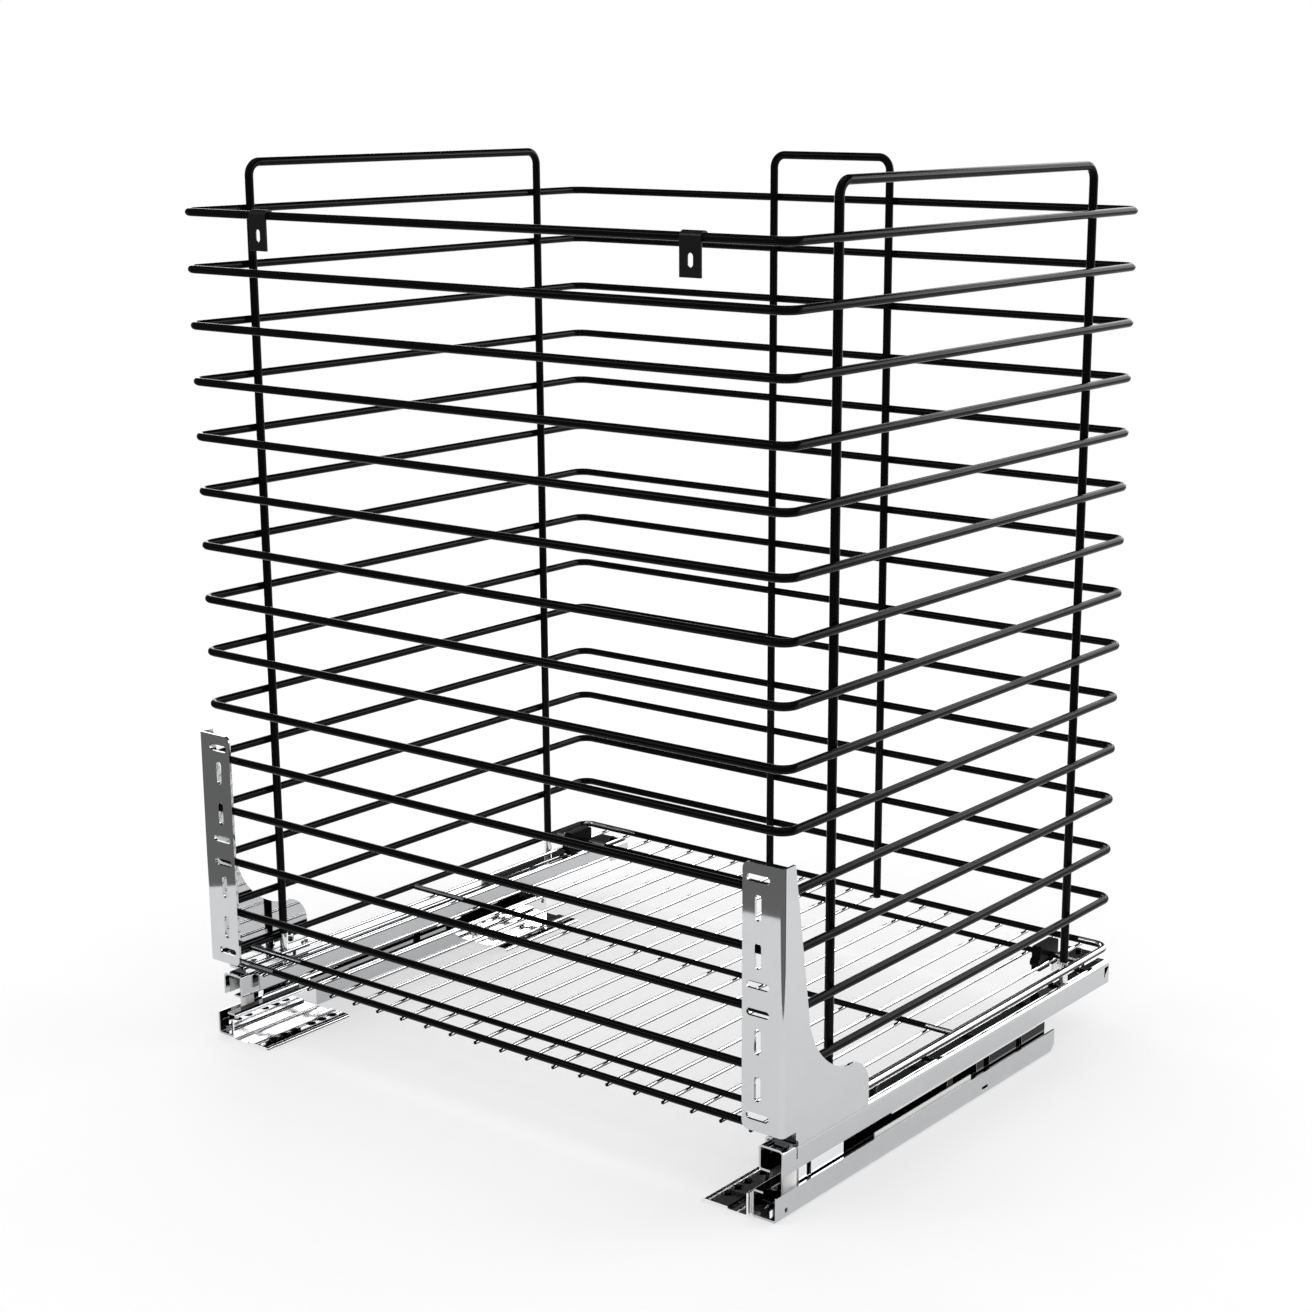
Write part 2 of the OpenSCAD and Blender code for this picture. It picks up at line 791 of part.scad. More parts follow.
// Plate section: upright flange against the rail, low strip, step, raised strip.
module plate_section() {
    t = rail_t;
    x1 = rail_in - pad_w;
    x2 = rail_in - pad_step_in;
    leg(pad_web_x - t, fold_r, pad_web_x, pad_flange_h);
    fold(pad_web_x - fold_r, fold_r, fold_r, t, 3);
    leg(x2, 0, pad_web_x - fold_r, t);
    leg(x2 - t, 0, x2, pad_top);
    leg(x1 + fold_r, pad_top - t, x2 - t, pad_top);
    fold(x1 + fold_r, pad_top - fold_r, fold_r, t, 1);
    leg(x1, 0, x1 + t, pad_top - fold_r);
}

// Two groups of three countersunk screw holes about y = mid.
module plate_holes(mid) {
    for (g = [-0.5, 0.5], i = [-1 : 1])
        translate([rail_in - pad_hole_in, mid + pad_group_pitch * g + pad_hole_pitch * i, 0]) {
            translate([0, 0, -cut])
                cylinder(h = pad_top + 2 * cut, d = pad_hole_d);
            translate([0, 0, pad_top - 0.5])
                cylinder(h = 1, d1 = pad_hole_d, d2 = pad_hole_d + 3);
        }
}

module front_plate(side) {
    color([0.76, 0.77, 0.79])
        on_side(side)
            difference() {
                run_y(front_pad_front, front_pad_l)
                    plate_section();
                plate_holes(front_pad_front + front_pad_l / 2 + 3.1);
            }
}

module rear_plate(side) {
    color([0.76, 0.77, 0.79])
        on_side(side)
            difference() {
                union() {
                    run_y(rear_pad_front, rear_pad_l)
                        plate_section();
                    // upright ear at the rear end, with a pierced lug
                    translate([pad_web_x - rail_t, cabinet_rail_rear - 9, pad_flange_h - cut])
                        cube([rail_t, 9, cabinet_web_h - pad_flange_h + cut]);
                }
                plate_holes(rear_pad_front + rear_pad_l / 2);
                translate([pad_web_x - rail_t - cut, cabinet_rail_rear - 4.5, 13.5])
                    rotate([0, 90, 0])
                        cylinder(h = rail_t + 2 * cut, d = 4);
            }
}

// ---- rear fittings ----

// Folded hook block on the rear end of the basket rail.
module rear_hook(side) {
    t = rail_t;
    x1 = rail_in - hook_in;
    z1 = basket_rail_top + weld_gap;
    y1 = hook_rear - hook_d;
    color([0.74, 0.75, 0.77])
        on_side(side)
            difference() {
                union() {
                    run_y(y1, hook_d) {
                        leg(x1 + fold_r, z1, rail_in + hook_over, z1 + t);
                        fold(x1 + fold_r, z1 + t - fold_r, fold_r, t, 1);
                        leg(x1, z1 + t - hook_h, x1 + t, z1 + t - fold_r);
                    }
                    translate([x1 + cut, hook_rear - t, z1 + t - hook_h])
                        cube([rail_in - weld_gap - x1 - cut, t, hook_h - t / 2]);
                }
                // hole for the cabinet's locking peg, and the pin's seat
                translate([x1 - cut, y1 + 8, z1 + t - hook_h + 6])
                    rotate([0, 90, 0])
                        cylinder(h = t + 2 * cut, d = 5);
                translate([rail_in - 7.5, hook_rear - 6, z1 - cut])
                    cylinder(h = t + 2 * cut, d = 3.1);
            }
}

// Plastic pins pressed into the hook blocks.
module hook_pins() {
    z1 = basket_rail_top + weld_gap;
    color([0.05, 0.05, 0.05])
        for (side = ["left", "right"])
            on_side(side)
                translate([rail_in - 7.5, hook_rear - 6, 0]) {
                    translate([0, 0, z1])
                        cylinder(h = rail_t + 2, d = 3);
                    translate([0, 0, z1 + rail_t + weld_gap])
                        cylinder(h = 2, d = 5);
                }
}

// Side view of the wire clip: upright block with a round toe at its front.
module clip_outline() {
    y2 = cross_mid_y + cross_pitch + clip_behind;
    y1 = y2 - clip_l;
    r = 2;
    leg(y1, clip_z, y2, clip_z + clip_h - r);
    leg(y1 + r, clip_z, y2 - r, clip_z + clip_h);
    for (y = [y1 + r, y2 - r])
        translate([y, clip_z + clip_h - r])
            circle(r = r);
    translate([y1 + 0.5, clip_z + 7])
        circle(r = 3.4);
}

module rear_clip(side) {
    x1 = clip_out - clip_w;
    y0 = cross_mid_y + cross_pitch;
    wire_r = cross_wire / 2 + 2 * weld_gap;
    color([0.05, 0.05, 0.05])
        on_side(side)
            difference() {
                run_x(x1, clip_w)
                    clip_outline();
                // snap seat for the cross wire, open downwards
                translate([x1 - cut, y0, cross_z])
                    rotate([0, 90, 0])
                        cylinder(h = clip_w + 2 * cut, r = wire_r);
                translate([x1 - cut, y0 - wire_r + 0.2, 0])
                    cube([clip_w + 2 * cut, 2 * wire_r - 0.4, cross_z]);
            }
}

ring(1);  // ring_01
ring(2);  // ring_02
ring(3);  // ring_03
ring(4);  // ring_04
ring(5);  // ring_05
ring(6);  // ring_06
ring(7);  // ring_07
ring(8);  // ring_08
ring(9);  // ring_09
ring(10);  // ring_10
ring(11);  // ring_11
ring(12);  // ring_12
ring(13);  // ring_13
ring(14);  // ring_14
base_frame();
mesh_wires();
cross_wires(-1);  // cross_wire_front
cross_wires(0);  // cross_wire_middle
cross_wires(1);  // cross_wire_rear
upright_loop_side("left");  // upright_loop_left
upright_loop_side("right");  // upright_loop_right
upright_loop_rear();
front_tab(-tab_left_x);  // front_tab_left
front_tab(tab_right_x);  // front_tab_right
front_bracket("left");  // front_bracket_left
front_bracket("right");  // front_bracket_right
bracket_screws();
basket_rail("left");  // basket_rail_left
basket_rail("right");  // basket_rail_right
middle_rail("left");  // middle_rail_left
middle_rail("right");  // middle_rail_right
middle_stop("left");  // middle_stop_left
middle_stop("right");  // middle_stop_right
cabinet_rail("left");  // cabinet_rail_left
cabinet_rail("right");  // cabinet_rail_right
upper_cage("left");  // upper_cage_left
upper_cage("right");  // upper_cage_right
upper_rollers();
lower_cage("left");  // lower_cage_left
lower_cage("right");  // lower_cage_right
lower_rollers();
front_plate("left");  // front_plate_left
front_plate("right");  // front_plate_right
rear_plate("left");  // rear_plate_left
rear_plate("right");  // rear_plate_right
rear_hook("left");  // rear_hook_left
rear_hook("right");  // rear_hook_right
hook_pins();
rear_clip("left");  // rear_clip_left
rear_clip("right");  // rear_clip_right
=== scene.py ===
# Looks of the pull out cabinet basket: black coated wire on bright zinc slides.
# Metres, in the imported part's own frame: +X right, -Y the front, +Z up.
import bpy
import bmesh
import math
from mathutils import Matrix, Vector


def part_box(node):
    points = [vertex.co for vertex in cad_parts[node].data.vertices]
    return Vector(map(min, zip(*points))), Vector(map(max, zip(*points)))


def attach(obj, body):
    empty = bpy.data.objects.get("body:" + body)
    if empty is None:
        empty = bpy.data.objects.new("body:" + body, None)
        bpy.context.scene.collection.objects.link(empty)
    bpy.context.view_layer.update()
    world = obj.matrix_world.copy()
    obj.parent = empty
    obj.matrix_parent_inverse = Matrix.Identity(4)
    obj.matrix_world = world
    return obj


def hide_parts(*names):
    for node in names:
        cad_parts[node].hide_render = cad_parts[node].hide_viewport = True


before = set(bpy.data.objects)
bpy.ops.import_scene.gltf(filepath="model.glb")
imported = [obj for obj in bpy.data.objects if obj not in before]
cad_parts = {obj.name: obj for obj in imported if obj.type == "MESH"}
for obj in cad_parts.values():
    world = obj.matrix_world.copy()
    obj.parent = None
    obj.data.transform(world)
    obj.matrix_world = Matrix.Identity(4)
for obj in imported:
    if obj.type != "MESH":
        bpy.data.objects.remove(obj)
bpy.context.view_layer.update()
MM = 0.001

# Finishes, painted shade and painted highlight, as linear colours
COATED_BLACK = (0.0022, 0.0022, 0.0024, 1)
# Painted shade: near-black painted inside the slides, along the floor wires' undersides and
# front ends, and on the floor under the plates
PAINTED_SHADE = (0.006, 0.006, 0.006, 1)
# Painted shade in the plates' countersinks, along their step and outer edge
PAINTED_RECESS_SHADE = (0.03, 0.03, 0.03, 1)
# Painted highlight: bright metal painted on the wires over the slides
PAINTED_HIGHLIGHT_METAL = (0.80, 0.80, 0.81, 1)
RAIL_SHADE = 0.57
MIDDLE_RAIL_SHADE = 0.93

# Zones in millimetres, each from its low to its high corner
OVER_RIGHT_SLIDE = ((240.0, -300.0, 0.0), (300.0, 300.0, 64.0))
OVER_LEFT_SLIDE = ((-261.2, -300.0, 0.0), (-206.0, 300.0, 64.0))
FLOOR_WIRE_FRONT_ENDS = ((-300.0, -300.0, 0.0), (300.0, -217.6, 100.0))
BASKET_RAIL_INSIDE = ((245.2, -100.0, 29.5), (263.2, 300.0, 43.3))
BASKET_RAIL_WHOLE_INSIDE = ((245.2, -300.0, 29.5), (263.2, 300.0, 43.3))
CABINET_RAIL_INSIDE = ((245.2, -185.0, 0.7), (263.2, 300.0, 17.5))
CABINET_RAIL_LIP = ((243.0, -300.0, 19.2), (254.0, 300.0, 20.3))
MIDDLE_RAIL_INSIDE = ((248.2, -100.0, 0.0), (260.8, 300.0, 50.0))
MIDDLE_RAIL_WHOLE_INSIDE = ((248.2, -300.0, 0.0), (260.8, 300.0, 50.0))
MIDDLE_RAIL_OUTER_WALL = ((260.8, -142.0, 0.0), (262.2, 126.0, 26.5))
PLATE_STEP = ((227.7, -300.0, 1.6), (229.4, 300.0, 3.2))
PLATE_OUTER_EDGE = ((206.0, -300.0, 1.0), (206.9, 300.0, 3.2))
UNDER_FRONT_SCREWS = ((207.5, -216.0, -5.0), (224.0, -143.0, 5.0))
UNDER_REAR_SCREWS = ((207.5, 53.0, -5.0), (224.0, 126.0, 5.0))

# Screw holes of a mounting plate, in millimetres
SCREW_ROW_X = 216.5
SCREW_PITCH = 11.0
FIRST_SCREW = 8.5
LAST_SCREW = 30.5
COUNTERSINK_RADIUS = 4.05
FRONT_SCREWS_Y = -179.65
REAR_SCREWS_Y = 89.25

# Wire and sheet
BEND = 10 * MM
RING_COAT = 0.3 * MM
FLOOR_WIRE_COUNT = 21
CROSS_WIRE_COUNT = 3
WIRE_END_ROUND = 0.35 * MM
LOOP_END_ROUND = 0.3 * MM
RAIL_FOLD = 2.5 * MM
OPENED_FOLD = 4.2 * MM

# Studio
TABLE_RADIUS = 0.70
TABLE_RIM_RADIUS = 1.7
TABLE_HEIGHT = -0.0004
TABLE_SIDES = 160
TABLE_GLOW = 0.47

# Camera, fitted to the photograph
CAMERA_PLACE = (1.089423, -1.373570, 0.713254)
CAMERA_YAW = math.radians(37.338)
CAMERA_PITCH = math.radians(14.255)
CAMERA_LENS = 66.236
CAMERA_SENSOR = 36
CAMERA_SHIFT = (-0.04135, 0.02601)


# ---------- small helpers for node trees ----------

def add(tree, kind, **settings):
    """A new node with its settings; keys that name an input set that input."""
    node = tree.nodes.new(kind)
    for key, value in settings.items():
        if hasattr(node, key):
            setattr(node, key, value)
        else:
            node.inputs[key.replace("_", " ")].default_value = value
    return node


def wire_up(tree, *pairs):
    """Links (output, input) pairs."""
    for out, into in pairs:
        tree.links.new(out, into)


def math_node(tree, operation, a, b=None, c=None, clamp=False):
    """A maths node fed by sockets or plain numbers; returns its output."""
    node = tree.nodes.new("ShaderNodeMath")
    node.operation = operation
    node.use_clamp = clamp
    for i, v in enumerate((a, b, c)):
        if v is None:
            continue
        if isinstance(v, (int, float)):
            node.inputs[i].default_value = v
        else:
            tree.links.new(v, node.inputs[i])
    return node.outputs[0]


def ramp(tree, value, start, end, before, after):
    """A smooth change from the level before start to the level after end."""
    node = add(tree, "ShaderNodeMapRange", interpolation_type="SMOOTHSTEP",
               From_Min=start, From_Max=end, To_Min=before, To_Max=after)
    wire_up(tree, (value, node.inputs["Value"]))
    return node.outputs["Result"]


def object_place(tree):
    """The Object coordinates."""
    return tree.nodes.new("ShaderNodeTexCoord").outputs["Object"]


# ---------- shared shader groups ----------

def new_group(name, inputs, outputs):
    """An empty shader group with named float, colour or vector sockets."""
    kinds = {"f": "NodeSocketFloat", "c": "NodeSocketColor", "v": "NodeSocketVector"}
    group = bpy.data.node_groups.new(name, "ShaderNodeTree")
    for label, kind, value in inputs:
        socket = group.interface.new_socket(label, in_out="INPUT", socket_type=kinds[kind])
        socket.default_value = value
    for label, kind in outputs:
        group.interface.new_socket(label, in_out="OUTPUT", socket_type=kinds[kind])
    start = group.nodes.new("NodeGroupInput")
    end = group.nodes.new("NodeGroupOutput")
    return group, start.outputs, end.inputs


def coat_skin_group():
    """Baked powder coat: orange peel, fine pits and a thin film of dust."""
    g, i, o = new_group(
        "coat_skin",
        [("Peel Size", "f", 900.0), ("Peel Depth", "f", 0.15),
         ("Base", "c", (0.01, 0.01, 0.01, 1)), ("Dust", "c", (0.1, 0.1, 0.1, 1)),
         ("Dust Amount", "f", 0.1), ("Roughness", "f", 0.2), ("Roughness Spread", "f", 0.1)],
        [("Color", "c"), ("Roughness", "f"), ("Normal", "v")])
    where = object_place(g)
    peel = add(g, "ShaderNodeTexNoise", Detail=2.0, Roughness=0.5)
    pits = add(g, "ShaderNodeTexVoronoi", Scale=2600.0)
    cloud = add(g, "ShaderNodeTexNoise", Scale=26.0, Detail=4.0, Roughness=0.6)
    speck = add(g, "ShaderNodeTexNoise", Scale=1500.0, Detail=2.0, Roughness=0.7)
    wire_up(g, (where, peel.inputs["Vector"]), (where, pits.inputs["Vector"]),
            (where, cloud.inputs["Vector"]), (where, speck.inputs["Vector"]),
            (i["Peel Size"], peel.inputs["Scale"]))
    pit = math_node(g, "SMOOTH_MIN", pits.outputs["Distance"], 0.35, 0.2)
    height = math_node(g, "ADD", peel.outputs["Fac"], math_node(g, "MULTIPLY", pit, 0.5))
    bump = add(g, "ShaderNodeBump", Distance=0.0002)
    wire_up(g, (height, bump.inputs["Height"]), (i["Peel Depth"], bump.inputs["Strength"]))
    film = math_node(g, "SUBTRACT", cloud.outputs["Fac"], 0.42, clamp=True)
    film = math_node(g, "MULTIPLY", film, 3.0, clamp=True)
    film = math_node(g, "MULTIPLY", film, speck.outputs["Fac"])
    film = math_node(g, "MULTIPLY", film, i["Dust Amount"], clamp=True)
    mix = add(g, "ShaderNodeMix", data_type="RGBA")
    wire_up(g, (film, mix.inputs["Factor"]), (i["Base"], mix.inputs["A"]),
            (i["Dust"], mix.inputs["B"]))
    rough = math_node(g, "SUBTRACT", cloud.outputs["Fac"], 0.5)
    rough = math_node(g, "MULTIPLY", rough, i["Roughness Spread"])
    rough = math_node(g, "ADD", rough, i["Roughness"])
    rough = math_node(g, "ADD", rough, math_node(g, "MULTIPLY", film, 0.5), clamp=True)
    wire_up(g, (mix.outputs["Result"], o["Color"]), (rough, o["Roughness"]),
            (bump.outputs["Normal"], o["Normal"]))
    return g


def rolled_sheet_group():
    """Plated rolled sheet: fine lines along one direction, cloudy bloom, stray scratches."""
    g, i, o = new_group(
        "rolled_sheet",
        [("Base", "c", (0.7, 0.7, 0.72, 1)), ("Bloom", "c", (0.5, 0.5, 0.52, 1)),
         ("Bloom Amount", "f", 0.3), ("Line Stretch", "v", (1.0, 0.02, 1.0)),
         ("Line Depth", "f", 0.1), ("Roughness", "f", 0.2), ("Roughness Spread", "f", 0.12),
         ("Scratches", "f", 0.3)],
        [("Color", "c"), ("Roughness", "f"), ("Normal", "v")])
    where = object_place(g)
    mapping = add(g, "ShaderNodeVectorMath", operation="MULTIPLY")
    wire_up(g, (where, mapping.inputs[0]), (i["Line Stretch"], mapping.inputs[1]))
    lines = add(g, "ShaderNodeTexNoise", Scale=2200.0, Detail=3.0, Roughness=0.65)
    wire_up(g, (mapping.outputs[0], lines.inputs["Vector"]))
    cloud = add(g, "ShaderNodeTexNoise", Scale=38.0, Detail=5.0, Roughness=0.6)
    wire_up(g, (where, cloud.inputs["Vector"]))
    turned = add(g, "ShaderNodeVectorRotate", rotation_type="EULER_XYZ")
    turned.inputs["Rotation"].default_value = (0.5, 0.9, 0.3)
    stretched = add(g, "ShaderNodeVectorMath", operation="MULTIPLY")
    stretched.inputs[1].default_value = (1.0, 0.04, 1.0)
    hair = add(g, "ShaderNodeTexNoise", Scale=420.0, Detail=1.0, Roughness=0.4)
    wire_up(g, (where, turned.inputs["Vector"]), (turned.outputs[0], stretched.inputs[0]),
            (stretched.outputs[0], hair.inputs["Vector"]))
    scratch = math_node(g, "SUBTRACT", hair.outputs["Fac"], 0.66, clamp=True)
    scratch = math_node(g, "MULTIPLY", scratch, 14.0, clamp=True)
    scratch = math_node(g, "MULTIPLY", scratch, i["Scratches"])
    height = math_node(g, "SUBTRACT", lines.outputs["Fac"], scratch)
    bump = add(g, "ShaderNodeBump", Distance=0.0001)
    wire_up(g, (height, bump.inputs["Height"]), (i["Line Depth"], bump.inputs["Strength"]))
    bloom = math_node(g, "SUBTRACT", cloud.outputs["Fac"], 0.4, clamp=True)
    bloom = math_node(g, "MULTIPLY", bloom, 2.6, clamp=True)
    bloom = math_node(g, "MULTIPLY", bloom, i["Bloom Amount"], clamp=True)
    mix = add(g, "ShaderNodeMix", data_type="RGBA")
    wire_up(g, (bloom, mix.inputs["Factor"]), (i["Base"], mix.inputs["A"]),
            (i["Bloom"], mix.inputs["B"]))
    rough = math_node(g, "SUBTRACT", lines.outputs["Fac"], 0.5)
    rough = math_node(g, "MULTIPLY", rough, i["Roughness Spread"])
    rough = math_node(g, "ADD", rough, i["Roughness"])
    rough = math_node(g, "ADD", rough, math_node(g, "MULTIPLY", bloom, 0.12))
    rough = math_node(g, "ADD", rough, math_node(g, "MULTIPLY", scratch, 0.25), clamp=True)
    wire_up(g, (mix.outputs["Result"], o["Color"]), (rough, o["Roughness"]),
            (bump.outputs["Normal"], o["Normal"]))
    return g


def zone_group():
    """Mask of the surfaces inside a box of the object's own space.

    Mirror 1 repeats the box at the other side.
    """
    g, i, o = new_group(
        "zone_box",
        [("Low X", "f", 0.0), ("High X", "f", 1.0), ("Low Y", "f", -1.0), ("High Y", "f", 1.0),
         ("Low Z", "f", 0.0), ("High Z", "f", 1.0), ("Mirror", "f", 0.0)],
        [("Mask", "f")])
    axes = g.nodes.new("ShaderNodeSeparateXYZ")
    wire_up(g, (object_place(g), axes.inputs[0]))
    mask = None
    for axis in "XYZ":
        here = axes.outputs[axis]
        if axis == "X":
            flip = math_node(g, "MULTIPLY", math_node(g, "LESS_THAN", here, 0.0), i["Mirror"])
            here = math_node(g, "MULTIPLY", here, math_node(g, "MULTIPLY_ADD", flip, -2.0, 1.0))
        inside = math_node(g, "MULTIPLY", math_node(g, "GREATER_THAN", here, i["Low " + axis]),
                           math_node(g, "LESS_THAN", here, i["High " + axis]))
        mask = inside if mask is None else math_node(g, "MULTIPLY", mask, inside)
    wire_up(g, (mask, o["Mask"]))
    return g


def hole_row_group():
    """Mask of the screw holes of a row along y.

    They repeat by Pitch between First and Last, to both sides of Middle Y.
    """
    g, i, o = new_group(
        "hole_row",
        [("Row X", "f", 0.2), ("Middle Y", "f", 0.0), ("Pitch", "f", 0.01), ("First", "f", 0.01),
         ("Last", "f", 0.03), ("Reach", "f", 0.004)],
        [("Mask", "f")])
    axes = g.nodes.new("ShaderNodeSeparateXYZ")
    wire_up(g, (object_place(g), axes.inputs[0]))
    across = math_node(g, "SUBTRACT", math_node(g, "ABSOLUTE", axes.outputs["X"]), i["Row X"])
    along = math_node(g, "SUBTRACT", axes.outputs["Y"], i["Middle Y"])
    along = math_node(g, "ABSOLUTE", along)
    half = math_node(g, "MULTIPLY", i["Pitch"], 0.5)
    place = math_node(g, "ADD", math_node(g, "SUBTRACT", along, i["First"]), half)
    inside = math_node(g, "MULTIPLY", math_node(g, "GREATER_THAN", place, 0.0),
                       math_node(g, "LESS_THAN", along, math_node(g, "ADD", i["Last"], half)))
    place = math_node(g, "SUBTRACT", math_node(g, "FLOORED_MODULO", place, i["Pitch"]), half)
    reach = math_node(g, "SQRT", math_node(g, "ADD", math_node(g, "MULTIPLY", across, across),
                                           math_node(g, "MULTIPLY", place, place)))
    near = math_node(g, "LESS_THAN", reach, i["Reach"])
    wire_up(g, (math_node(g, "MULTIPLY", near, inside), o["Mask"]))
    return g


COAT_SKIN = coat_skin_group()
ROLLED_SHEET = rolled_sheet_group()
HOLE_ROW = hole_row_group()
ZONE = zone_group()


# ---------- materials ----------

def finish_from(name, group, values, **sockets):
    """A Principled material fed by one shared group; constants go on its own sockets."""
    m = bpy.data.materials.new(name)
    m.use_nodes = True
    t = m.node_tree
    shader = t.nodes["Principled BSDF"]
    skin = t.nodes.new("ShaderNodeGroup")
    skin.node_tree = group
    for key, value in values.items():
        skin.inputs[key].default_value = value
    wire_up(t, (skin.outputs["Color"], shader.inputs["Base Color"]),
            (skin.outputs["Roughness"], shader.inputs["Roughness"]),
            (skin.outputs["Normal"], shader.inputs["Normal"]))
    for key, value in sockets.items():
        shader.inputs[key.replace("_", " ")].default_value = value
    return m


def zone_mask(tree, corners, both_sides=True):
    """The mask of one zone, at its own side or mirrored to both."""
    zone = tree.nodes.new("ShaderNodeGroup")
    zone.node_tree = ZONE
    low, high = corners
    for k, axis in enumerate("XYZ"):
        zone.inputs["Low " + axis].default_value = low[k] * MM
        zone.inputs["High " + axis].default_value = high[k] * MM
    zone.inputs["Mirror"].default_value = 1.0 if both_sides else 0.0
    return zone.outputs["Mask"]


def recoloured(material, mask, colour):
    """Mixes a colour into the finish where the mask is 1."""
    t = material.node_tree
    base = t.nodes["Principled BSDF"].inputs["Base Color"]
    mix = add(t, "ShaderNodeMix", data_type="RGBA")
    mix.inputs["B"].default_value = colour
    wire_up(t, (mask, mix.inputs["Factor"]), (base.links[0].from_socket, mix.inputs["A"]))
    wire_up(t, (mix.outputs["Result"], base))


def own_normal(tree):
    """The three parts of the surface's direction in the object's own space."""
    facing = tree.nodes.new("ShaderNodeSeparateXYZ")
    wire_up(tree, (tree.nodes.new("ShaderNodeTexCoord").outputs["Normal"], facing.inputs[0]))
    return facing.outputs


def painted_shade_inside(material, corners, both_sides=True):
    """Painted shade: the running faces inside the slide are painted dark where shade falls
    between the rails; the cut ends of the sheet stay bright.
    """
    t = material.node_tree
    side_on = math_node(t, "LESS_THAN", math_node(t, "ABSOLUTE", own_normal(t)["Y"]), 0.7)
    inside = zone_mask(t, corners, both_sides)
    recoloured(material, math_node(t, "MULTIPLY", inside, side_on), PAINTED_SHADE)
    return material


def painted_highlight_over_slides(material, along_sides):
    """Painted highlight: bright metal painted on the wire over the slides, all round or along
    both sides of its top only.
    """
    t = material.node_tree
    mask = math_node(t, "ADD", zone_mask(t, OVER_RIGHT_SLIDE, False),
                     zone_mask(t, OVER_LEFT_SLIDE, False))
    if along_sides:
        rise = own_normal(t)["Z"]
        highlight_band = math_node(t, "MULTIPLY", math_node(t, "GREATER_THAN", rise, 0.2),
                         math_node(t, "LESS_THAN", rise, 0.9))
        mask = math_node(t, "MULTIPLY", mask, highlight_band)
    recoloured(material, mask, PAINTED_HIGHLIGHT_METAL)
    wire_up(t, (mask, t.nodes["Principled BSDF"].inputs["Metallic"]))
    return material


def dark_beneath(material):
    """Chromed wire with painted shade: painted dark along its underside and at its front ends.
    """
    t = material.node_tree
    recoloured(material, math_node(t, "LESS_THAN", own_normal(t)["Z"], 0.10), PAINTED_SHADE)
    recoloured(material, zone_mask(t, FLOOR_WIRE_FRONT_ENDS, False), PAINTED_SHADE)
    return material


def wire_coat(name):
    """Gloss black coat of the basket's wires."""
    return finish_from(
        name, COAT_SKIN,
        {"Base": COATED_BLACK, "Dust": (0.05, 0.05, 0.052, 1), "Dust Amount": 0.03,
         "Peel Size": 700.0, "Peel Depth": 0.12, "Roughness": 0.12, "Roughness Spread": 0.06},
        Specular_IOR_Level=0.06)


def zinc(name, base, bloom, bloom_amount, stretch, roughness=0.03, scratches=0.05):
    """Bright plated sheet, with its lines along the axis that the stretch shortens."""
    return finish_from(
        name, ROLLED_SHEET,
        {"Base": (*base, 1), "Bloom": (*bloom, 1), "Bloom Amount": bloom_amount,
         "Line Stretch": stretch, "Line Depth": 0.008, "Roughness": roughness,
         "Roughness Spread": 0.02, "Scratches": scratches},
        Metallic=1.0)


def slide_zinc(name, shade):
    """Bright zinc of one slide profile, slightly blue."""
    return zinc(name, (shade, shade * 1.008, shade * 1.025),
                (shade * 0.86, shade * 0.87, shade * 0.89), 0.3, (1.0, 0.02, 1.0), 0.035)


def plate_zinc(name, middle_y):
    """Pale bright zinc, with painted shade in its countersinks and along its step and outer
    edge.
    """
    material = zinc(name, (0.93, 0.93, 0.94), (0.86, 0.86, 0.87), 0.25, (1.0, 0.03, 1.0))
    row = material.node_tree.nodes.new("ShaderNodeGroup")
    row.node_tree = HOLE_ROW
    for key, value in (("Row X", SCREW_ROW_X), ("Middle Y", middle_y), ("Pitch", SCREW_PITCH),
                       ("First", FIRST_SCREW), ("Last", LAST_SCREW),
                       ("Reach", COUNTERSINK_RADIUS)):
        row.inputs[key].default_value = value * MM
    recoloured(material, row.outputs["Mask"], PAINTED_RECESS_SHADE)
    for corners in (PLATE_STEP, PLATE_OUTER_EDGE):
        recoloured(material, zone_mask(material.node_tree, corners), PAINTED_RECESS_SHADE)
    return material


black_wire = wire_coat("gloss_black_wire_coat")
# Painted highlight: the base and cross wires get bright metal along both sides of their tops
# over the slides, the loops all round there
base_wire = painted_highlight_over_slides(wire_coat("gloss_black_base_wire"), True)
footed_wire = painted_highlight_over_slides(wire_coat("gloss_black_wire_with_painted_highlight_feet"), False)

floor_wire = dark_beneath(finish_from(
    "chromed_floor_wire", ROLLED_SHEET,
    {"Base": (0.95, 0.95, 0.96, 1), "Bloom": (0.88, 0.88, 0.89, 1), "Bloom Amount": 0.2,
     "Line Stretch": (1.0, 0.05, 1.0), "Line Depth": 0.01, "Roughness": 0.04,
     "Roughness Spread": 0.02, "Scratches": 0.05},
    Metallic=1.0))

black_tab = finish_from(
    "satin_black_tab_coat", COAT_SKIN,
    {"Base": (0.004, 0.004, 0.0043, 1), "Dust": (0.06, 0.06, 0.062, 1), "Dust Amount": 0.06,
     "Peel Size": 620.0, "Peel Depth": 0.25, "Roughness": 0.26, "Roughness Spread": 0.12},
    Specular_IOR_Level=0.3)

clip_plastic = finish_from(
    "moulded_black_clip", COAT_SKIN,
    {"Base": (0.0025, 0.0025, 0.0025, 1), "Dust": (0.03, 0.03, 0.03, 1), "Dust Amount": 0.03,
     "Peel Size": 1400.0, "Peel Depth": 0.2, "Roughness": 0.34, "Roughness Spread": 0.10},
    Specular_IOR_Level=0.03)

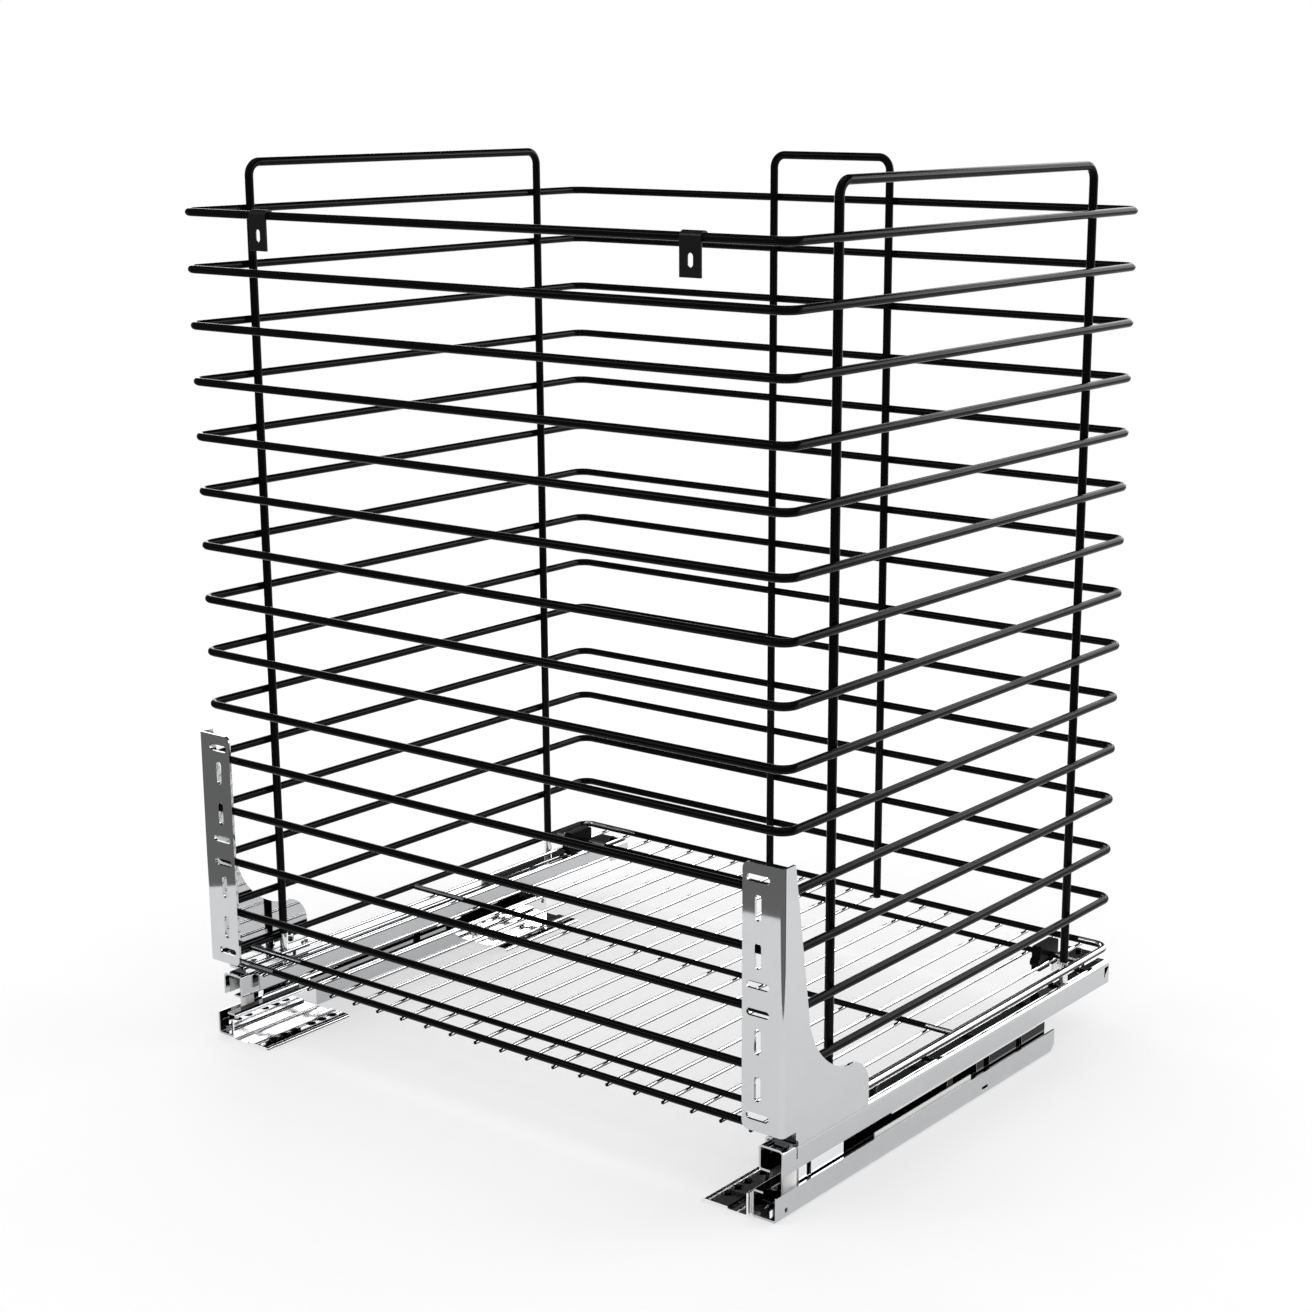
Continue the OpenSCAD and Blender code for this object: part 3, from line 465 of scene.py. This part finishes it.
cage_plastic = finish_from(
    "natural_nylon_cage", COAT_SKIN,
    {"Base": (0.74, 0.74, 0.72, 1), "Dust": (0.45, 0.44, 0.42, 1), "Dust Amount": 0.25,
     "Peel Size": 1200.0, "Peel Depth": 0.2, "Roughness": 0.42, "Roughness Spread": 0.12},
    IOR=1.53)

bracket_zinc = zinc("bright_zinc_bracket", (0.61, 0.615, 0.625), (0.54, 0.545, 0.555), 0.3,
                    (1.0, 1.0, 0.03), scratches=0.04)

# Painted shade inside the slides: the running faces are painted dark where shade falls between
# the rails. The left slide's front part has less painted shade than the right one's.
basket_rail_zinc = slide_zinc("bright_zinc_basket_rail", RAIL_SHADE)
painted_shade_inside(basket_rail_zinc, BASKET_RAIL_INSIDE)
painted_shade_inside(basket_rail_zinc, BASKET_RAIL_WHOLE_INSIDE, both_sides=False)
cabinet_rail_zinc = slide_zinc("bright_zinc_cabinet_rail", RAIL_SHADE)
painted_shade_inside(cabinet_rail_zinc, CABINET_RAIL_INSIDE)
painted_shade_inside(cabinet_rail_zinc, CABINET_RAIL_LIP)
middle_rail_zinc = slide_zinc("bright_zinc_middle_rail", MIDDLE_RAIL_SHADE)
painted_shade_inside(middle_rail_zinc, MIDDLE_RAIL_INSIDE)
painted_shade_inside(middle_rail_zinc, MIDDLE_RAIL_WHOLE_INSIDE, both_sides=False)
painted_shade_inside(middle_rail_zinc, MIDDLE_RAIL_OUTER_WALL)

front_plate_zinc = plate_zinc("pale_zinc_front_plate", FRONT_SCREWS_Y)
rear_plate_zinc = plate_zinc("pale_zinc_rear_plate", REAR_SCREWS_Y)

hook_chrome = finish_from(
    "chromed_hook", ROLLED_SHEET,
    {"Base": (0.66, 0.665, 0.68, 1), "Bloom": (0.58, 0.585, 0.60, 1), "Bloom Amount": 0.25,
     "Line Stretch": (1.0, 0.2, 1.0), "Line Depth": 0.01, "Roughness": 0.03,
     "Roughness Spread": 0.02, "Scratches": 0.05},
    Metallic=1.0)

polished_steel = finish_from(
    "polished_roller_steel", ROLLED_SHEET,
    {"Base": (0.62, 0.62, 0.64, 1), "Bloom": (0.5, 0.5, 0.52, 1), "Bloom Amount": 0.2,
     "Line Stretch": (0.05, 1.0, 1.0), "Line Depth": 0.06, "Roughness": 0.14,
     "Roughness Spread": 0.08, "Scratches": 0.2},
    Metallic=1.0)


# ---------- geometry helpers ----------

def link(obj):
    """The object, placed in the scene."""
    bpy.context.scene.collection.objects.link(obj)
    return obj


def applied(obj):
    """The object with its modifiers turned into a plain mesh."""
    deps = bpy.context.evaluated_depsgraph_get()
    mesh = bpy.data.meshes.new_from_object(obj.evaluated_get(deps), depsgraph=deps)
    mesh.name = obj.name
    name = obj.name
    bpy.data.objects.remove(obj)
    return link(bpy.data.objects.new(name, mesh))


def smooth_by_angle(obj, degrees):
    """Smooth shading with sharp edges above an angle."""
    mesh = obj.data
    mesh.polygons.foreach_set("use_smooth", [True] * len(mesh.polygons))
    mesh.set_sharp_from_angle(angle=math.radians(degrees))
    return obj


def even_faces(obj, degrees=40.0):
    """Smooth shading that leaves wide flat faces flat, so that they mirror like real sheet."""
    smooth_by_angle(obj, degrees)
    weigh = obj.modifiers.new("flat_faces", "WEIGHTED_NORMAL")
    weigh.mode = "FACE_AREA"
    weigh.weight = 100
    weigh.keep_sharp = True
    return applied(obj)


def softened(obj, width, degrees=28.0):
    """Rounds the sharp edges by width, so that they catch the light."""
    bevel = obj.modifiers.new("edge_round", "BEVEL")
    bevel.limit_method = "ANGLE"
    bevel.angle_limit = math.radians(degrees)
    bevel.width = width
    bevel.segments = 2
    bevel.use_clamp_overlap = True
    return even_faces(applied(obj))


def widen_fold(bm, top, side, radius, wide):
    """Opens the outer top fold of a rail from one outside radius to a wider one."""
    for v in bm.verts:
        across = abs(v.co.x) - (side - radius)
        rise = v.co.z - (top - radius)
        if across < -1e-6 or rise < -1e-6:
            continue
        reach = math.hypot(across, rise)
        grown_by = (reach + wide - radius) / reach
        v.co.x = math.copysign(side - wide + across * grown_by, v.co.x)
        v.co.z = top - wide + rise * grown_by


def from_solid(node, width, fold=None):
    """A finished copy of a CAD node: merged, its flat faces made whole, its edges rounded."""
    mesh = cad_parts[node].data.copy()
    bm = bmesh.new()
    bm.from_mesh(mesh)
    bmesh.ops.remove_doubles(bm, verts=bm.verts, dist=2e-6)
    bmesh.ops.dissolve_limit(bm, angle_limit=math.radians(0.6), verts=bm.verts, edges=bm.edges)
    bmesh.ops.recalc_face_normals(bm, faces=bm.faces)
    if fold:
        widen_fold(bm, *fold)
    bm.to_mesh(mesh)
    bm.free()
    mesh.materials.clear()
    return softened(link(bpy.data.objects.new(node + "_finished", mesh)), width)


def dress(obj, material, body, slot, *nodes):
    """Gives a finished piece its material, its body and the CAD nodes that it stands for."""
    obj.data.materials.clear()
    obj.data.materials.append(material)
    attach(obj, body)
    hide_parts(*nodes)


# ---------- geometry node trees ----------

def new_tree(name, inputs):
    """A geometry tree with named inputs; returns it with its sockets and its output."""
    kinds = {"f": "NodeSocketFloat", "i": "NodeSocketInt", "v": "NodeSocketVector",
             "m": "NodeSocketMaterial"}
    tree = bpy.data.node_groups.new(name, "GeometryNodeTree")
    for label, kind in inputs:
        tree.interface.new_socket(label, in_out="INPUT", socket_type=kinds[kind])
    tree.interface.new_socket("Geometry", in_out="OUTPUT", socket_type="NodeSocketGeometry")
    start = tree.nodes.new("NodeGroupInput")
    end = tree.nodes.new("NodeGroupOutput")
    return tree, start.outputs, end.inputs["Geometry"]


def wire_section(tree, diameter, sides):
    """The round section of a wire."""
    section = add(tree, "GeometryNodeCurvePrimitiveCircle", mode="RADIUS", Resolution=sides)
    wire_up(tree, (math_node(tree, "MULTIPLY", diameter, 0.5), section.inputs["Radius"]))
    return section.outputs[0]


def close_tree(tree, points, piece, material, out):
    """Every tree ends the same way: the piece on its points, as real geometry, smooth."""
    place = tree.nodes.new("GeometryNodeInstanceOnPoints")
    real = tree.nodes.new("GeometryNodeRealizeInstances")
    smooth = tree.nodes.new("GeometryNodeSetShadeSmooth")
    paint = tree.nodes.new("GeometryNodeSetMaterial")
    wire_up(tree, (points, place.inputs["Points"]), (piece, place.inputs["Instance"]),
            (place.outputs[0], real.inputs[0]), (real.outputs[0], smooth.inputs["Geometry"]),
            (smooth.outputs[0], paint.inputs["Geometry"]), (material, paint.inputs["Material"]),
            (paint.outputs[0], out))


def grown(name, tree, values):
    """Runs a geometry tree with its named inputs and keeps the plain mesh."""
    obj = link(bpy.data.objects.new(name, bpy.data.meshes.new(name)))
    modifier = obj.modifiers.new("grow", "NODES")
    modifier.node_group = tree
    for item in tree.interface.items_tree:
        if item.in_out == "INPUT" and item.name in values:
            modifier[item.identifier] = values[item.name]
    return applied(obj)


def ring_stack_tree():
    """Closed rings of wire with rounded corners, one above the other."""
    tree, i, out = new_tree("ring_stack", [
        ("Width", "f"), ("Depth", "f"), ("Corner Radius", "f"), ("Wire Diameter", "f"),
        ("First Height", "f"), ("Pitch", "f"), ("Count", "i"), ("Coat", "m")])
    outline = add(tree, "GeometryNodeCurvePrimitiveQuadrilateral", mode="RECTANGLE")
    wire_up(tree, (i["Width"], outline.inputs["Width"]), (i["Depth"], outline.inputs["Height"]))
    fillet = add(tree, "GeometryNodeFilletCurve", mode="POLY")
    fillet.inputs["Count"].default_value = 10
    wire_up(tree, (outline.outputs[0], fillet.inputs["Curve"]),
            (i["Corner Radius"], fillet.inputs["Radius"]))
    section = wire_section(tree, i["Wire Diameter"], 20)
    tube = tree.nodes.new("GeometryNodeCurveToMesh")
    wire_up(tree, (fillet.outputs[0], tube.inputs["Curve"]),
            (section, tube.inputs["Profile Curve"]))
    start = tree.nodes.new("ShaderNodeCombineXYZ")
    step = tree.nodes.new("ShaderNodeCombineXYZ")
    wire_up(tree, (i["First Height"], start.inputs["Z"]), (i["Pitch"], step.inputs["Z"]))
    stack = add(tree, "GeometryNodeMeshLine", mode="OFFSET")
    wire_up(tree, (i["Count"], stack.inputs["Count"]),
            (start.outputs[0], stack.inputs["Start Location"]),
            (step.outputs[0], stack.inputs["Offset"]))
    close_tree(tree, stack.outputs[0], tube.outputs[0], i["Coat"], out)
    return tree


def wire_row_tree():
    """A row of straight wires, the first from From to To and each next one a Step on."""
    tree, i, out = new_tree("wire_row", [
        ("From", "v"), ("To", "v"), ("Step", "v"), ("Count", "i"), ("Wire Diameter", "f"),
        ("Coat", "m")])
    line = add(tree, "GeometryNodeCurvePrimitiveLine", mode="POINTS")
    along = add(tree, "ShaderNodeVectorMath", operation="SUBTRACT")
    wire_up(tree, (i["To"], along.inputs[0]), (i["From"], along.inputs[1]),
            (along.outputs[0], line.inputs["End"]))
    section = wire_section(tree, i["Wire Diameter"], 14)
    tube = add(tree, "GeometryNodeCurveToMesh")
    tube.inputs["Fill Caps"].default_value = True
    wire_up(tree, (line.outputs[0], tube.inputs["Curve"]),
            (section, tube.inputs["Profile Curve"]))
    row = add(tree, "GeometryNodeMeshLine", mode="OFFSET")
    wire_up(tree, (i["Count"], row.inputs["Count"]), (i["From"], row.inputs["Start Location"]),
            (i["Step"], row.inputs["Offset"]))
    close_tree(tree, row.outputs[0], tube.outputs[0], i["Coat"], out)
    return tree


def bent_path(corners, bend_radius, steps=14):
    """The points of a line through the corners, with each inner corner bent at one radius."""
    path = [Vector(corners[0])]
    for before, corner, after in zip(corners, corners[1:], corners[2:]):
        corner = Vector(corner)
        a = (Vector(before) - corner).normalized()
        b = (Vector(after) - corner).normalized()
        half = a.angle(b) / 2
        reach = bend_radius / math.tan(half)
        centre = corner + (a + b).normalized() * (bend_radius / math.sin(half))
        first = corner + a * reach - centre
        last = corner + b * reach - centre
        axis = first.cross(last).normalized()
        turn = first.angle(last)
        for k in range(steps + 1):
            path.append(centre + Matrix.Rotation(turn * k / steps, 3, axis) @ first)
    path.append(Vector(corners[-1]))
    return path


def bent_wire(name, corners, diameter, sides=24):
    """A tube of wire through the corners, both ends closed."""
    path = bent_path(corners, BEND)
    bm = bmesh.new()
    rows = []
    tangent = (path[1] - path[0]).normalized()
    side = tangent.orthogonal().normalized()
    for k, p in enumerate(path):
        before = path[max(k - 1, 0)]
        after = path[min(k + 1, len(path) - 1)]
        now = (after - before).normalized()
        side = (tangent.rotation_difference(now) @ side).normalized()
        tangent = now
        other = tangent.cross(side)
        ring = []
        for s in range(sides):
            a = 2 * math.pi * s / sides
            out = side * math.cos(a) + other * math.sin(a)
            ring.append(bm.verts.new(p + out * diameter / 2))
        rows.append(ring)
    for r1, r2 in zip(rows, rows[1:]):
        for s in range(sides):
            bm.faces.new((r1[s], r1[(s + 1) % sides], r2[(s + 1) % sides], r2[s]))
    bm.faces.new(list(reversed(rows[0])))
    bm.faces.new(rows[-1])
    bmesh.ops.recalc_face_normals(bm, faces=bm.faces)
    mesh = bpy.data.meshes.new(name)
    bm.to_mesh(mesh)
    bm.free()
    return softened(link(bpy.data.objects.new(name, mesh)), LOOP_END_ROUND, 60.0)


# ---------- basket ----------

def middle(node):
    """The middle of a CAD node's box."""
    low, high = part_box(node)
    return (low + high) / 2


ring_low, ring_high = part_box("ring_01")
WIRE = ring_high.z - ring_low.z
RING_W = ring_high.x - ring_low.x - WIRE
RING_D = ring_high.y - ring_low.y - WIRE
BASE_Z = middle("base_frame").z
RING_PITCH = middle("ring_02").z - middle("ring_01").z
RINGS = ["ring_%02d" % k for k in range(1, 15)]

ring_stack = ring_stack_tree()
rings = grown("basket_rings", ring_stack, {
    "Width": RING_W, "Depth": RING_D, "Corner Radius": BEND,
    "Wire Diameter": WIRE + 2 * RING_COAT, "First Height": BASE_Z + RING_PITCH,
    "Pitch": RING_PITCH, "Count": len(RINGS), "Coat": black_wire})
dress(rings, black_wire, "basket", "wire", *RINGS)
base_frame = grown("basket_base_frame", ring_stack, {
    "Width": RING_W, "Depth": RING_D, "Corner Radius": BEND, "Wire Diameter": WIRE,
    "First Height": BASE_Z, "Pitch": RING_PITCH, "Count": 1, "Coat": base_wire})
dress(base_frame, base_wire, "basket", "wire", "base_frame")

wire_row = wire_row_tree()
mesh_low, mesh_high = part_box("mesh_wires")
MESH_WIRE = mesh_high.z - mesh_low.z
mesh_x = (mesh_high.x - mesh_low.x - MESH_WIRE) / 2
mesh_mid_z = (mesh_high.z + mesh_low.z) / 2
floor_wires = grown("basket_floor_wires", wire_row, {
    "From": (-mesh_x, mesh_low.y, mesh_mid_z), "To": (-mesh_x, mesh_high.y, mesh_mid_z),
    "Step": (2 * mesh_x / (FLOOR_WIRE_COUNT - 1), 0, 0), "Count": FLOOR_WIRE_COUNT,
    "Wire Diameter": MESH_WIRE, "Coat": floor_wire})
floor_wires = softened(floor_wires, WIRE_END_ROUND, 50.0)
dress(floor_wires, floor_wire, "basket", "floor_wire", "mesh_wires")

cross_low, cross_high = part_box("cross_wire_front")
cross = middle("cross_wire_front")
cross_wires = grown("basket_cross_wires", wire_row, {
    "From": (cross_low.x, cross.y, cross.z), "To": (cross_high.x, cross.y, cross.z),
    "Step": (0, middle("cross_wire_middle").y - cross.y, 0), "Count": CROSS_WIRE_COUNT,
    "Wire Diameter": cross_high.z - cross_low.z, "Coat": base_wire})
cross_wires = softened(cross_wires, WIRE_END_ROUND, 50.0)
dress(cross_wires, base_wire, "basket", "wire",
      "cross_wire_front", "cross_wire_middle", "cross_wire_rear")

for side in ("left", "right"):
    low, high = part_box("upright_loop_" + side)
    d = high.x - low.x
    x = (low.x + high.x) / 2
    loop = bent_wire("side_loop_" + side, [
        (x, low.y + d / 2, low.z), (x, low.y + d / 2, high.z - d / 2),
        (x, high.y - d / 2, high.z - d / 2), (x, high.y - d / 2, low.z)], d)
    dress(loop, footed_wire, "basket", "wire", "upright_loop_" + side)
low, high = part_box("upright_loop_rear")
d = high.y - low.y
y = (low.y + high.y) / 2
rear_loop = bent_wire("rear_loop", [
    (low.x + d / 2, y, low.z), (low.x + d / 2, y, high.z - d / 2),
    (high.x - d / 2, y, high.z - d / 2), (high.x - d / 2, y, low.z)], d)
dress(rear_loop, black_wire, "basket", "wire", "upright_loop_rear")


# ---------- sheet metal and plastics, finished from the solids ----------

# One row a part: node, edge rounding in millimetres, material, body, slot
PAIRED_PARTS = (
    ("front_tab", 0.25, black_tab, "basket", "tab"),
    ("front_bracket", 0.25, bracket_zinc, "basket", "bracket"),
    ("basket_rail", 0.18, basket_rail_zinc, "basket", "rail"),
    ("middle_rail", 0.18, middle_rail_zinc, "middle_rails", "rail"),
    ("cabinet_rail", 0.5, cabinet_rail_zinc, "cabinet_rails", "rail"),
    ("middle_stop", 0.3, cage_plastic, "middle_rails", "cage"),
    ("front_plate", 0.18, front_plate_zinc, "cabinet_rails", "plate"),
    ("rear_plate", 0.18, rear_plate_zinc, "cabinet_rails", "plate"),
    ("rear_hook", 0.25, hook_chrome, "basket", "bracket"),
    ("rear_clip", 0.5, clip_plastic, "basket", "clip"),
    ("upper_cage", 0.1, cage_plastic, "upper_cages", "cage"),
    ("lower_cage", 0.1, cage_plastic, "lower_cages", "cage"))
SINGLE_PARTS = (
    ("bracket_screws", 0.2, hook_chrome, "basket", "screws"),
    ("hook_pins", 0.25, clip_plastic, "basket", "clip"),
    ("upper_rollers", 0.2, polished_steel, "upper_cages", "rollers"),
    ("lower_rollers", 0.2, polished_steel, "lower_cages", "rollers"))

for side in ("left", "right"):
    for node, width, material, body, slot in PAIRED_PARTS:
        solid = node + "_" + side
        fold = None
        if node == "basket_rail":
            low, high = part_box(solid)
            fold = (high.z, max(-low.x, high.x), RAIL_FOLD, OPENED_FOLD)
        dress(from_solid(solid, width * MM, fold), material, body, slot, solid)
for solid, width, material, body, slot in SINGLE_PARTS:
    dress(from_solid(solid, width * MM), material, body, slot, solid)


# ---------- studio ----------

def floor_material():
    """Pale backlit table: it glows a little, so that shadows on it stay faint."""
    m = bpy.data.materials.new("pale_floor")
    m.use_nodes = True
    t = m.node_tree
    shader = t.nodes["Principled BSDF"]
    cloud = add(t, "ShaderNodeTexNoise", Scale=3.0, Detail=3.0)
    mix = add(t, "ShaderNodeMix", data_type="RGBA")
    mix.inputs["A"].default_value = (0.50, 0.50, 0.50, 1)
    mix.inputs["B"].default_value = (0.52, 0.52, 0.52, 1)
    wire_up(t, (object_place(t), cloud.inputs["Vector"]),
            (cloud.outputs["Fac"], mix.inputs["Factor"]),
            (mix.outputs["Result"], shader.inputs["Base Color"]))
    shader.inputs["Roughness"].default_value = 0.9
    shader.inputs["Specular IOR Level"].default_value = 0.0
    shader.inputs["Emission Strength"].default_value = TABLE_GLOW
    glow = 1.0
    # Painted shadow: the floor under the plates' screw rows is painted dark and does not glow
    # there
    for corners in (UNDER_FRONT_SCREWS, UNDER_REAR_SCREWS):
        shadowed = zone_mask(t, corners)
        glow = math_node(t, "MULTIPLY", glow, math_node(t, "SUBTRACT", 1.0, shadowed))
        recoloured(m, shadowed, PAINTED_SHADE)
    wire_up(t, (glow, shader.inputs["Emission Color"]))
    return m


def circle(radius):
    """Points all round the table at one radius."""
    turns = [2 * math.pi * k / TABLE_SIDES for k in range(TABLE_SIDES)]
    return [(radius * math.cos(a), radius * math.sin(a), TABLE_HEIGHT) for a in turns]


def table_part(name, verts, faces, material, mirrored=True):
    """A flat part of the table; the metal mirrors it or not."""
    mesh = bpy.data.meshes.new(name)
    mesh.from_pydata(verts, [], faces)
    obj = link(bpy.data.objects.new(name, mesh))
    obj.data.materials.append(material)
    obj.visible_glossy = mirrored


pale_floor = floor_material()
table_part("studio_table", circle(TABLE_RADIUS), [range(TABLE_SIDES)], pale_floor)
rim_faces = [(k, TABLE_SIDES + k, TABLE_SIDES + (k + 1) % TABLE_SIDES, (k + 1) % TABLE_SIDES)
             for k in range(TABLE_SIDES)]
table_part("studio_table_rim", circle(TABLE_RADIUS) + circle(TABLE_RIM_RADIUS), rim_faces,
           pale_floor, mirrored=False)


def softbox(name, place, aim, width, height, glow, mirrored_only=False):
    """A soft light of even glow, its power set from its area. The camera doesn't see it."""
    data = bpy.data.lights.new(name, "AREA")
    data.shape = "RECTANGLE"
    data.size = width
    data.size_y = height
    data.energy = glow * math.pi * width * height
    lamp = link(bpy.data.objects.new(name, data))
    lamp.location = place
    lamp.rotation_euler = (Vector(aim) - Vector(place)).to_track_quat("-Z", "Y").to_euler()
    lamp.visible_camera = False
    lamp.visible_diffuse = not mirrored_only


softbox("back_box", place=(0.455, 1.725, 1.10), aim=(0.1, 0, 0.1),
        width=1.93, height=1.05, glow=4.0, mirrored_only=True)
softbox("back_right_box", place=(1.65, 1.5, 0.95), aim=(0, 0, 0.1),
        width=1.2, height=0.7, glow=2.6)
softbox("back_left_box", place=(-1.78, 1.13, 0.86), aim=(-0.22, -0.18, 0),
        width=0.8, height=0.85, glow=2.6)
softbox("front_left_box", place=(-1.9, -2.3, 2.4), aim=(0, 0, 0.3),
        width=0.8, height=0.6, glow=4.0)


def studio_world():
    """White to the camera and for diffuse light. Metal mirrors dim walls instead.

    Their bright parts are low down behind the object and straight above it.
    """
    world = bpy.data.worlds.new("studio")
    world.use_nodes = True
    t = world.node_tree
    sky = t.nodes["Background"]
    sky.inputs["Color"].default_value = (1, 1, 1, 1)
    path = t.nodes.new("ShaderNodeLightPath")
    split = t.nodes.new("ShaderNodeSeparateXYZ")
    wire_up(t, (t.nodes.new("ShaderNodeTexCoord").outputs["Generated"], split.inputs[0]))
    walls = ramp(t, split.outputs["Y"], -0.2, 0.35, before=0.18, after=0.03)
    low_down = ramp(t, split.outputs["Z"], 0.20, 0.28, before=1.0, after=0.0)
    behind = math_node(t, "GREATER_THAN", split.outputs["Y"], 0.3)
    behind = math_node(t, "MULTIPLY", low_down, behind)
    overhead = ramp(t, split.outputs["Z"], 0.82, 0.93, before=0.0, after=0.9)
    mirrored = math_node(t, "MAXIMUM", math_node(t, "MAXIMUM", walls, behind), overhead)
    level = add(t, "ShaderNodeMix", data_type="FLOAT")
    level.inputs["A"].default_value = 1.0
    wire_up(t, (path.outputs["Is Glossy Ray"], level.inputs["Factor"]),
            (mirrored, level.inputs["B"]), (level.outputs["Result"], sky.inputs["Strength"]))
    return world


scene = bpy.context.scene
scene.world = studio_world()
scene.view_settings.view_transform = "Standard"


# ---------- camera, at the photograph's viewing angle ----------

back = Vector((math.sin(CAMERA_YAW) * math.cos(CAMERA_PITCH),
               -math.cos(CAMERA_YAW) * math.cos(CAMERA_PITCH), math.sin(CAMERA_PITCH)))
right = Vector((math.cos(CAMERA_YAW), math.sin(CAMERA_YAW), 0))
up = back.cross(right)
lens = bpy.data.cameras.new("photo_camera")
lens.sensor_width = CAMERA_SENSOR
lens.lens = CAMERA_LENS
lens.shift_x, lens.shift_y = CAMERA_SHIFT
camera = link(bpy.data.objects.new("photo_camera", lens))
turned = Matrix((right, up, back)).transposed().to_4x4()
camera.matrix_world = Matrix.Translation(CAMERA_PLACE) @ turned
scene.camera = camera
